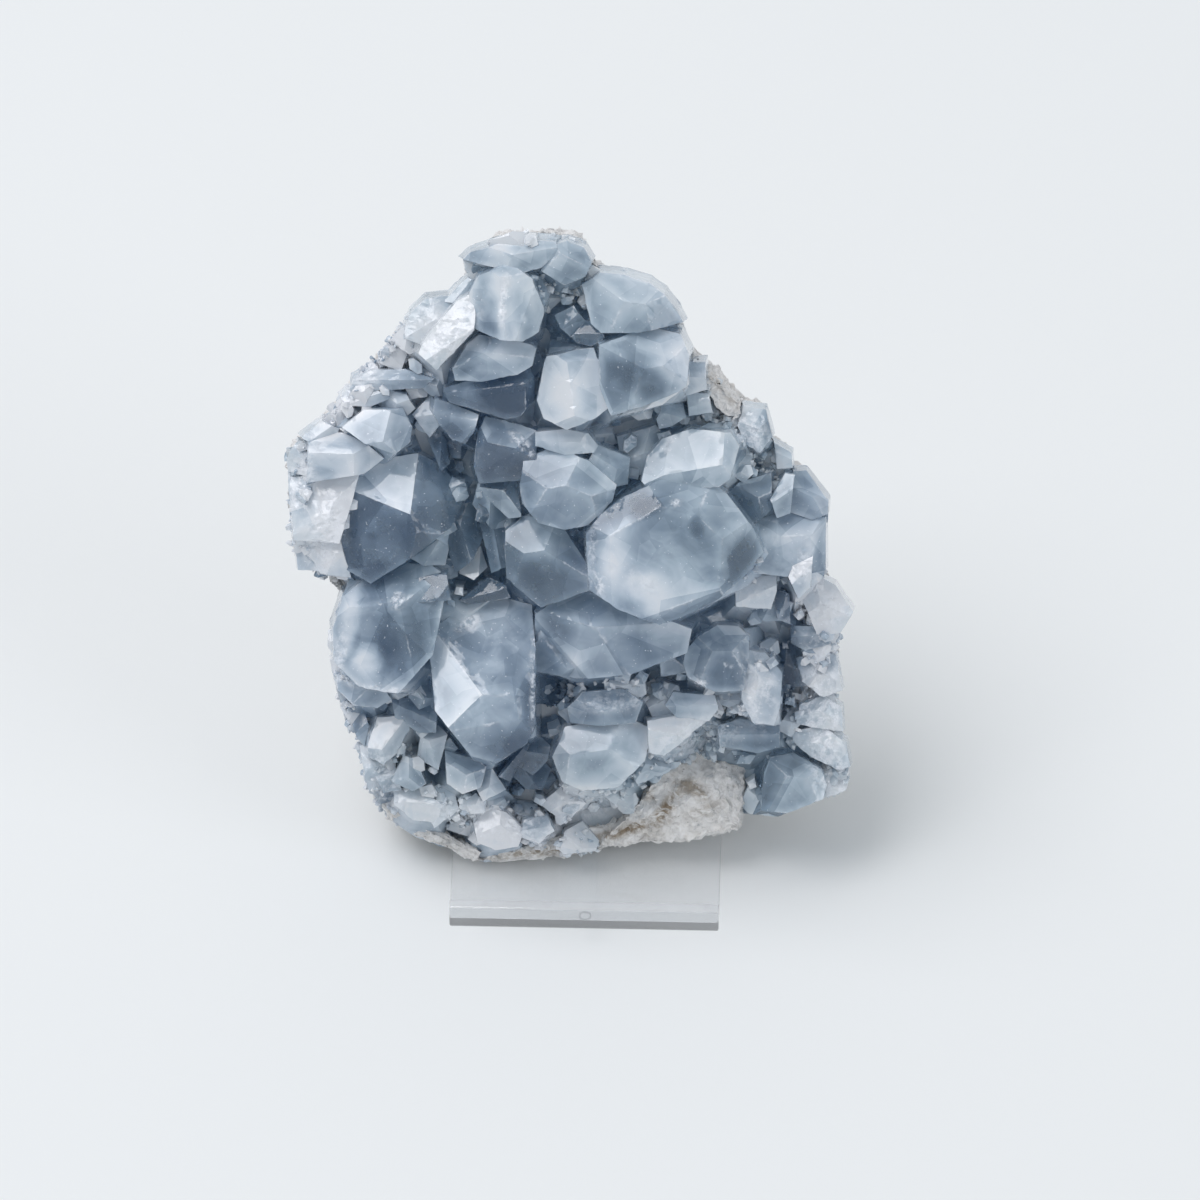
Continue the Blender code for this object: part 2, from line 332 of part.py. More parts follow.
def side_faces(outline, height):
    """The side faces that stand on each edge of an outline, widening a little to the root."""
    found = []
    outline = turned_right_way(tuple(outline))
    for (u0, v0), (u1, v1) in zip(outline, outline[1:] + outline[:1]):
        turn = math.degrees(math.atan2(u0 - u1, v1 - v0))
        fall = 87.0 - 6.0 * math.sin(math.radians(turn))
        found.append((spot((u0 + u1) / 2, (v0 + v1) / 2, height), direction(turn, fall)))
    return found


def cut_off(bm, point, normal):
    """Cuts away what lies past a plane and closes the cut."""
    everything = bm.verts[:] + bm.edges[:] + bm.faces[:]
    bmesh.ops.bisect_plane(
        bm, geom=everything, dist=1e-7, plane_co=point, plane_no=normal, clear_outer=True
    )
    bmesh.ops.holes_fill(bm, edges=bm.edges[:], sides=0)


def cut_block(planes, middle, reach):
    """A block cut down by planes, each a point and an outward normal."""
    bm = bmesh.new()
    bmesh.ops.create_cube(bm, size=2 * reach)
    bmesh.ops.translate(bm, verts=bm.verts, vec=middle)
    for point, normal in planes:
        cut_off(bm, point, normal)
    bmesh.ops.remove_doubles(bm, verts=bm.verts, dist=1e-6)
    bmesh.ops.recalc_face_normals(bm, faces=bm.faces)
    return bm


def crystal_mesh(rise, outline, ends, more=(), root=CRYSTAL_FOOT, swell=0.0):
    """One crystal: its side faces, end faces and root, cut from a block, every face moved out by swell."""
    u, v = centre_of(outline)
    height = rim(v) + rise
    planes = side_faces(outline, height)
    planes += [(spot(pu, pv, height), direction(turn, fall)) for turn, fall, pu, pv in ends]
    planes.append((slab(0, 0, root), -SLAB_OUT))
    planes.append((Vector((0, 0, LEDGE_TOP * MM)), Vector((0, 0, -1))))
    planes += list(more)
    planes = [(point + normal * swell * MM, normal) for point, normal in planes]
    return cut_block(planes, spot(u, v, height - 10.0), 45.0 * MM)


def within(u, v, outline):
    """Whether a point of the picture lies in an outline."""
    inside = False
    for (u0, v0), (u1, v1) in zip(outline, outline[1:] + outline[:1]):
        if (v0 > v) != (v1 > v) and u < u0 + (v - v0) * (u1 - u0) / (v1 - v0):
            inside = not inside
    return inside


def near_edges(u, v, reach):
    """The outline's edges within reach of a point, each as a side face that the point is inside."""
    found = []
    edge = turned_right_way(OUTLINE)
    for (u0, v0), (u1, v1) in zip(edge, edge[1:] + edge[:1]):
        length = math.hypot(u1 - u0, v1 - v0)
        along = ((u - u0) * (u1 - u0) + (v - v0) * (v1 - v0)) / length
        away = ((u - u0) * (v1 - v0) - (v - v0) * (u1 - u0)) / length
        if -reach < away < -0.2 and -0.5 * reach < along < length + 0.5 * reach:
            turn = math.degrees(math.atan2(u0 - u1, v1 - v0))
            found.append((spot(u0, v0, rim(v) + 2.0), direction(turn, 90.0)))
    return found


def small_crystal(dice, u, v, size, rise):
    """A small crystal of a random habit: a five or six sided prism with three end faces."""
    count = dice.choice((4, 5, 6))
    start = dice.uniform(0, 360)
    stretch = dice.uniform(0.62, 1.0)
    lie = math.radians(dice.uniform(0, 180))
    outline = []
    for i in range(count):
        angle = math.radians(start + 360.0 * (i + dice.uniform(-0.2, 0.2)) / count)
        a, b = size * math.cos(angle), size * stretch * math.sin(angle)
        across, rise_up = a * math.cos(lie) - b * math.sin(lie), a * math.sin(lie) + b * math.cos(lie)
        outline.append((u + across, v + rise_up))
    first = dice.uniform(0, 360)
    ends = []
    for i in range(3):
        turn = first + 120 * i + dice.uniform(-30, 30)
        step = size * dice.uniform(0.0, 0.35)
        pu, pv = u + step * math.cos(math.radians(turn)), v + step * math.sin(math.radians(turn))
        ends.append((turn, dice.uniform(14, 48), pu, pv))
    return crystal_mesh(rise, outline, ends, near_edges(u, v, size * 1.7 + 1.0))


def inset_places(step, depth):
    """Places along the specimen's edge, a little way in from it."""
    edge = turned_right_way(OUTLINE)
    places = []
    for (u0, v0), (u1, v1) in zip(edge, edge[1:] + edge[:1]):
        length = math.hypot(u1 - u0, v1 - v0)
        count = max(1, round(length / step))
        for i in range(count):
            t = (i + 0.5) / count
            u = u0 + t * (u1 - u0) - depth * (v1 - v0) / length
            v = v0 + t * (v1 - v0) + depth * (u1 - u0) / length
            places.append((u, v))
    return places


def in_hollow(u, v):
    """Whether a place lies in one of the open places."""
    return any(((u - a) / c) ** 2 + ((v - b) / d) ** 2 < 1 for a, b, c, d in HOLLOWS)


def on_bare_matrix(u, v):
    """Whether a place lies on matrix that carries no crystals."""
    return any(within(u, v, outline) for _, outline, _ in BARE_MATRIX.values())


def covered(u, v):
    """Whether one of the named crystals already stands well over a place."""
    for rise, outline, _ in CRYSTALS.values():
        a, b = centre_of(outline)
        if rise > 0 and within(a + (u - a) * 1.3, b + (v - b) * 1.3, outline):
            return True
    return False


def small_places(dice):
    """Where the small crystals grow: along the edge, then wherever there is room inside it."""
    places = []
    for u, v in inset_places(5.2, 2.3):
        if not on_bare_matrix(u, v) and not covered(u, v):
            places.append((u, v, dice.uniform(2.6, 3.6), dice.uniform(-2.5, 0.8)))
    for _ in range(2600):
        u, v = dice.uniform(-47, 49), dice.uniform(-53, 53)
        size = dice.uniform(2.6, 4.6)
        crowded = any(math.hypot(u - p[0], v - p[1]) < 0.9 * (size + p[2]) for p in places)
        if not within(u, v, OUTLINE) or crowded or covered(u, v) or on_bare_matrix(u, v):
            continue
        rise = dice.uniform(-3.0, -1.5) if in_hollow(u, v) else dice.uniform(-1.0, 3.5)
        places.append((u, v, size, rise))
    return places


def material(name, colour, roughness, **more):
    """A plain Principled material."""
    made = bpy.data.materials.new(name)
    made.use_nodes = True
    shader = made.node_tree.nodes["Principled BSDF"]
    shader.inputs["Base Color"].default_value = (*colour, 1.0)
    shader.inputs["Roughness"].default_value = roughness
    for key, value in more.items():
        shader.inputs[key.replace("_", " ")].default_value = value
    return made


def object_of(name, bm, collection):
    """An object in a collection from a bmesh, which is freed."""
    mesh = bpy.data.meshes.new(name)
    bm.to_mesh(mesh)
    bm.free()
    made = bpy.data.objects.new(name, mesh)
    collection.objects.link(made)
    return made


def helper(obj):
    """Marks a cutter or a piece that is joined into another."""
    obj.hide_render = True
    obj.display_type = "WIRE"
    return obj


def keep_outer_skin(mesh):
    """Removes closed pockets and loose chips, leaving the one outer skin."""
    bm = bmesh.new()
    bm.from_mesh(mesh)
    left, skins = set(bm.verts), []
    while left:
        first = left.pop()
        skin, edge_of_skin = {first}, [first]
        while edge_of_skin:
            for edge in edge_of_skin.pop().link_edges:
                for vert in edge.verts:
                    if vert not in skin:
                        skin.add(vert)
                        edge_of_skin.append(vert)
        left -= skin
        skins.append(skin)
    skins.sort(key=len)
    for skin in skins[:-1]:
        bmesh.ops.delete(bm, geom=list(skin), context="VERTS")
    bmesh.ops.triangulate(bm, faces=bm.faces)
    bm.to_mesh(mesh)
    bm.free()


def applied(obj, collection):
    """The object with its modifiers applied, as a new object of the same name."""
    graph = bpy.context.evaluated_depsgraph_get()
    mesh = bpy.data.meshes.new_from_object(obj.evaluated_get(graph))
    name = obj.name
    bpy.data.objects.remove(obj)
    keep_outer_skin(mesh)
    mesh.name = name
    made = bpy.data.objects.new(name, mesh)
    collection.objects.link(made)
    return made


def crust(collection):
    """The thin crust of massive celestite that every crystal grows from."""
    curve = bpy.data.curves.new("crust", "CURVE")
    curve.dimensions = "2D"
    curve.fill_mode = "BOTH"
    curve.extrude = (CRUST_TOP - CRUST_BOTTOM) / 2 * MM
    line = curve.splines.new("POLY")
    line.points.add(len(OUTLINE) - 1)
    for point, (u, v) in zip(line.points, turned_right_way(OUTLINE)):
        b = (v * 0.965 + SLAB_OUT.dot(UP) * -CRUST_TOP) / SLAB_UP.dot(UP)
        point.co = (u * 0.965 * MM, b * MM, 0, 1)
    line.use_cyclic_u = True
    drawn = bpy.data.objects.new("crust_outline", curve)
    collection.objects.link(drawn)
    middle = slab(0, 0, (CRUST_TOP + CRUST_BOTTOM) / 2)
    frame = ((*RIGHT,), (*SLAB_UP,), (*SLAB_OUT,))
    matrix = drawn.matrix_world.copy()
    for row in range(3):
        for column in range(3):
            matrix[row][column] = frame[column][row]
        matrix[row][3] = middle[row]
    drawn.matrix_world = matrix
    bpy.context.view_layer.update()
    graph = bpy.context.evaluated_depsgraph_get()
    mesh = bpy.data.meshes.new_from_object(drawn.evaluated_get(graph))
    bm = bmesh.new()
    bm.from_mesh(mesh)
    bmesh.ops.remove_doubles(bm, verts=bm.verts, dist=1e-6)
    bmesh.ops.recalc_face_normals(bm, faces=bm.faces)
    bm.transform(matrix)
    cut_off(bm, Vector((0, 0, LEDGE_TOP * MM)), Vector((0, 0, -1)))
    bpy.data.objects.remove(drawn)
    return bm


def edge_distance(turn):
    """How far the specimen's outline is from the layout's zero, in the rim plane."""
    far = 0.0
    du, dv = math.cos(turn), math.sin(turn)
    for (u0, v0), (u1, v1) in zip(OUTLINE, OUTLINE[1:] + OUTLINE[:1]):
        v0, v1 = v0 / SLAB_UP.dot(UP), v1 / SLAB_UP.dot(UP)
        cross = du * (v1 - v0) - dv * (u1 - u0)
        if abs(cross) < 1e-9:
            continue
        t = (dv * u0 - du * v0) / cross
        reach = (u0 * (v1 - v0) - v0 * (u1 - u0)) / cross
        if 0 <= t <= 1 and reach > far:
            far = reach
    return far


def lump(dice, detail):
    """A sphere with its points pushed in and out a little by smooth seeded waves."""
    bm = bmesh.new()
    bmesh.ops.create_icosphere(bm, subdivisions=detail, radius=1.0)
    waves = [
        (Vector([dice.uniform(-1, 1) for _ in range(3)]).normalized() * dice.uniform(3, 9), dice.uniform(0, 6))
        for _ in range(9)
    ]
    for vert in bm.verts:
        push = sum(math.sin(wave.dot(vert.co) + phase) / wave.length for wave, phase in waves)
        vert.co *= 1.0 + 0.10 * push
    return bm


def matrix_bowl(swell=0.0):
    """The rounded back of the matrix, flat where it carries the crust and where it leans."""
    bm = lump(random.Random(SEED), 3)
    thick = MATRIX_TOP - MATRIX_BACK
    for vert in bm.verts:
        turn = math.atan2(vert.co.y, vert.co.x)
        ring = min(1.0, math.hypot(vert.co.x, vert.co.y))
        depth = min(0.0, vert.co.z)
        shrink = 0.985 if vert.co.z > 0 else 1.0 - 0.30 * depth**2
        reach = edge_distance(turn) * ring**0.72 * shrink + swell * ring
        a, b = reach * math.cos(turn), reach * math.sin(turn)
        b += (SLAB_OUT.dot(UP) * -MATRIX_TOP) / SLAB_UP.dot(UP) * 0.75
        out = MATRIX_TOP + thick * 1.08 * depth
        out = out + swell if vert.co.z > -0.02 else min(MATRIX_TOP + swell, out - swell * ring)
        vert.co = slab(a, b, max(out, MATRIX_BACK - swell))
    bmesh.ops.remove_doubles(bm, verts=bm.verts, dist=2e-5)
    cut_off(bm, Vector((0, 0, (LEDGE_TOP - swell) * MM)), Vector((0, 0, -1)))
    bmesh.ops.dissolve_limit(bm, angle_limit=math.radians(0.1), verts=bm.verts, edges=bm.edges)
    bmesh.ops.triangulate(bm, faces=bm.faces)
    return bm


def boolean(obj, name, operation, collection):
    """Joins or cuts an object with every piece of a collection."""
    made = obj.modifiers.new(name, "BOOLEAN")
    made.operation = operation
    made.operand_type = "COLLECTION"
    made.collection = collection
    made.solver = "MANIFOLD"
    return made


def group_in(cutters, name):
    """A collection of pieces that are joined into, or cut from, another."""
    made = bpy.data.collections.new(name)
    cutters.children.link(made)
    return made


def build_matrix(parts, cutters):
    """The matrix: the bowl with the bare lumps joined to it, and the pieces that clear it."""
    joined = group_in(cutters, "matrix_lumps")
    clear = group_in(cutters, "room_for_lumps")
    body = object_of("matrix", matrix_bowl(), parts)
    room = helper(object_of("room_for_matrix", matrix_bowl(GAP + 0.05), cutters))
    root = MATRIX_TOP - 5.0
    for name, shape in BARE_MATRIX.items():
        helper(object_of(name, crystal_mesh(*shape, root=root), joined))
        wider = crystal_mesh(*shape, root=root, swell=GAP + 0.05)
        helper(object_of(name + "_room", wider, clear))
    boolean(body, "lumps", "UNION", joined)
    boolean(room, "lumps", "UNION", clear)
    bpy.context.view_layer.update()
    return applied(body, parts), helper(applied(room, cutters))


def build_crystals(dice, room, parts, cutters):
    """All the crystals and their crust as one solid, standing clear of the matrix."""
    joined = group_in(cutters, "crystals_joined")
    body = object_of("celestite_crystals", crust(cutters), parts)
    for name, shape in CRYSTALS.items():
        helper(object_of(name, crystal_mesh(*shape), joined))
    for number, place in enumerate(small_places(dice)):
        helper(object_of(f"small_{number}", small_crystal(dice, *place), joined))
    boolean(body, "crystals", "UNION", joined)
    cut = body.modifiers.new("clear_of_matrix", "BOOLEAN")
    cut.operation = "DIFFERENCE"
    cut.object = room
    cut.solver = "MANIFOLD"
    bpy.context.view_layer.update()
    return applied(body, parts)


def easel_line():
    """The middle line of the bent sheet: lip, ledge, back rest, top bend and rear leg."""
    half = EASEL_THICKNESS / 2
    ledge = Vector((EASEL_LEDGE + half, half))
    back = Vector((math.sin(LEAN), math.cos(LEAN)))
    top = ledge + back * EASEL_BACK_LENGTH
    foot = Vector((EASEL_LEG_FOOT, half))
    line = [Vector((half, EASEL_LIP)), Vector((half, half)), ledge]
    leg = (foot - top).normalized()
    start, end = top - back * EASEL_BEND, top + leg * EASEL_BEND
    for i in range(7):
        t = i / 6
        line.append(start * (1 - t) ** 2 + top * 2 * t * (1 - t) + end * t * t)
    line.append(foot)
    return line


def build_easel(parts):
    """The clear easel: one bent sheet, drawn as its side outline and given its width."""
    line = easel_line()
    half = EASEL_THICKNESS / 2
    sides = ([], [])
    for i, point in enumerate(line):
        before = (point - line[i - 1]).normalized() if i else None
        after = (line[i + 1] - point).normalized() if i + 1 < len(line) else None
        if before is None or after is None:
            way = after or before
            across = Vector((-way.y, way.x)) * half
        else:
            way = (before + after).normalized()
            across = Vector((-way.y, way.x)) * half / max(0.3, way.dot(after))
        for side, place in zip(sides, (point + across, point - across)):
            if i + 1 == len(line):
                place = place - way * (place.y / way.y)
            side.append(place)
    outline = sides[0] + sides[1][::-1]
    curve = bpy.data.curves.new("easel_side", "CURVE")
    curve.dimensions = "2D"
    curve.fill_mode = "BOTH"
    curve.extrude = EASEL_WIDTH / 2 * MM
    drawn = curve.splines.new("POLY")
    drawn.points.add(len(outline) - 1)
    for point, place in zip(drawn.points, outline):
        point.co = (place.x * MM, place.y * MM, 0, 1)
    drawn.use_cyclic_u = True
    side = bpy.data.objects.new("easel_side", curve)
    parts.objects.link(side)
    side.rotation_euler = (math.radians(90), 0, math.radians(90 + EASEL_TURN))
    side.location = (EASEL_CENTRE * MM, EASEL_BEHIND * MM, 0)
    bpy.context.view_layer.update()
    graph = bpy.context.evaluated_depsgraph_get()
    mesh = bpy.data.meshes.new_from_object(side.evaluated_get(graph))
    bm = bmesh.new()
    bm.from_mesh(mesh)
    bmesh.ops.remove_doubles(bm, verts=bm.verts, dist=1e-6)
    bmesh.ops.recalc_face_normals(bm, faces=bm.faces)
    bm.transform(side.matrix_world)
    bpy.data.objects.remove(side)
    return object_of("easel", bm, parts)


def seat_on_origin(pieces):
    """Moves the pieces so that the middle of their box's underside is the origin."""
    corners = [piece.matrix_world @ v.co for piece in pieces for v in piece.data.vertices]
    low = Vector([min(c[i] for c in corners) for i in range(3)])
    high = Vector([max(c[i] for c in corners) for i in range(3)])
    base = bpy.data.objects.new("cluster_on_easel", None)
    pieces[0].users_collection[0].objects.link(base)
    for piece in pieces:
        piece.parent = base
    base.location = (-(low.x + high.x) / 2, -(low.y + high.y) / 2, -low.z)
    bpy.context.view_layer.update()


def main():
    for obj in list(bpy.data.objects):
        bpy.data.objects.remove(obj)
    parts = bpy.data.collections.new("celestite_cluster")
    cutters = bpy.data.collections.new("cutters")
    bpy.context.scene.collection.children.link(parts)
    bpy.context.scene.collection.children.link(cutters)
    dice = random.Random(SEED)
    matrix, room = build_matrix(parts, cutters)
    crystals = build_crystals(dice, room, parts, cutters)
    easel = build_easel(parts)
    crystals.data.materials.append(
        material("celestite", (0.33, 0.42, 0.52), 0.15, Transmission_Weight=0.4, IOR=1.62)
    )
    matrix.data.materials.append(material("matrix_rock", (0.66, 0.62, 0.57), 0.9))
    easel.data.materials.append(
        material("clear_acrylic", (0.93, 0.95, 0.95), 0.05, Transmission_Weight=1.0, IOR=1.49)
    )
    seat_on_origin([matrix, crystals, easel])


main()
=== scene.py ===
"""The looks of a celestite crystal cluster that leans on a small clear easel."""

import json
import math
import random

import bmesh
import bpy
import numpy as np
from mathutils import Matrix, Vector, noise

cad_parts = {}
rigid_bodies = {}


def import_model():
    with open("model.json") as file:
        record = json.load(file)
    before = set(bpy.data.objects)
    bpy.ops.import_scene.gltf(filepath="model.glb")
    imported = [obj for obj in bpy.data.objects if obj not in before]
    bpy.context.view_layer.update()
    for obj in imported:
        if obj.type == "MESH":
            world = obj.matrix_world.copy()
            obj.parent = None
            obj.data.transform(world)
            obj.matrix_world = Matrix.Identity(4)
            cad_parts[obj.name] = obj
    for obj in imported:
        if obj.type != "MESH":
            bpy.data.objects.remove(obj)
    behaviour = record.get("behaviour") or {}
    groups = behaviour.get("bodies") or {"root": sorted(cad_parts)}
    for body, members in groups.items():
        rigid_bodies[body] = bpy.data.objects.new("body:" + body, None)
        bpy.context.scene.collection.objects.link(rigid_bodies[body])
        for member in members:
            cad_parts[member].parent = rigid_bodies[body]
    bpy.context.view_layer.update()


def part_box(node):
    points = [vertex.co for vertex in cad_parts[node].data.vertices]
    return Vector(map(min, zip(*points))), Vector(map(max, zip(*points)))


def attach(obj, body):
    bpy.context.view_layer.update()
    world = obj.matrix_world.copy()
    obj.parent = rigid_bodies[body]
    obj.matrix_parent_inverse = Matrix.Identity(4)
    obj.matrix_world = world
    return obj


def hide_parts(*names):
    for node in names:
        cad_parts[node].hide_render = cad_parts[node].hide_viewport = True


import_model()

# Driving dimensions, in millimetres and degrees, as the solids have them
MM = 0.001
VIEW_ELEVATION = 45.0
PICTURE_RISE = 64.3
ROCK_LEAN = 25.0
RIM_DEPTH = 15.0
CRUST_TOP = -4.5
CRUST_BOTTOM = -9.0
MATRIX_TOP = -8.3
MATRIX_BACK = -28.0
CRYSTAL_FOOT = -7.5
EASEL_WIDTH = 46.0
EASEL_CENTRE = 3.2
EASEL_TURN = -1.5
EASEL_BEHIND = -1.9
EASEL_THICKNESS = 2.2
EASEL_LEDGE = 43.3
EASEL_LIP = 6.0
EASEL_BACK_LENGTH = 55.0
EASEL_BEND = 7.0
EASEL_LEG_FOOT = 88.6
LEDGE_TOP = 2.5
SEED = 11

# The picture: millimetres to a pixel, the layout's zero and the middle of the frame, in pixels
PIXEL = 0.17
ZERO = (565, 550)
FRAME_SIDE = 1200
CAMERA_AWAY = 3.0

# The specimen's outline as seen, right and up from the layout's zero
OUTLINE = (
    (-17.3, 49.3), (-16.3, 50.7), (-11.0, 52.9), (-7.1, 53.7), (-2.0, 53.4), (0.5, 53.2),
    (3.2, 52.2), (4.6, 49.0), (6.8, 47.3), (9.7, 46.1), (14.5, 44.7), (17.9, 42.2),
    (20.1, 38.9), (20.7, 34.0), (29.9, 24.3), (34.3, 23.6), (35.4, 18.4), (38.6, 16.5),
    (38.9, 13.8), (41.0, 13.1), (44.9, 8.0), (44.2, -3.7), (45.4, -5.6), (49.1, -10.5),
    (46.8, -14.5), (47.1, -22.3), (47.1, -28.7), (48.8, -36.6), (47.4, -41.1), (42.8, -43.0),
    (36.4, -45.6), (30.6, -45.1), (29.6, -48.3), (18.2, -50.2), (5.1, -51.5), (-4.6, -53.0),
    (-11.1, -53.7), (-15.0, -53.4), (-26.0, -49.0), (-29.9, -46.2), (-33.8, -40.5), (-35.5, -32.0),
    (-37.7, -30.1), (-39.4, -22.3), (-40.6, -17.7), (-40.5, -13.8), (-39.1, -10.5), (-39.4, -6.6),
    (-41.7, -4.1), (-45.6, -3.4), (-46.2, 0.9), (-46.8, 8.5), (-47.3, 15.5), (-46.2, 17.7),
    (-41.7, 21.6), (-36.2, 28.7), (-29.4, 35.9), (-27.4, 39.8), (-24.1, 42.5), (-20.9, 42.2),
    (-18.4, 44.4), (-16.7, 46.4),
)  # fmt: skip

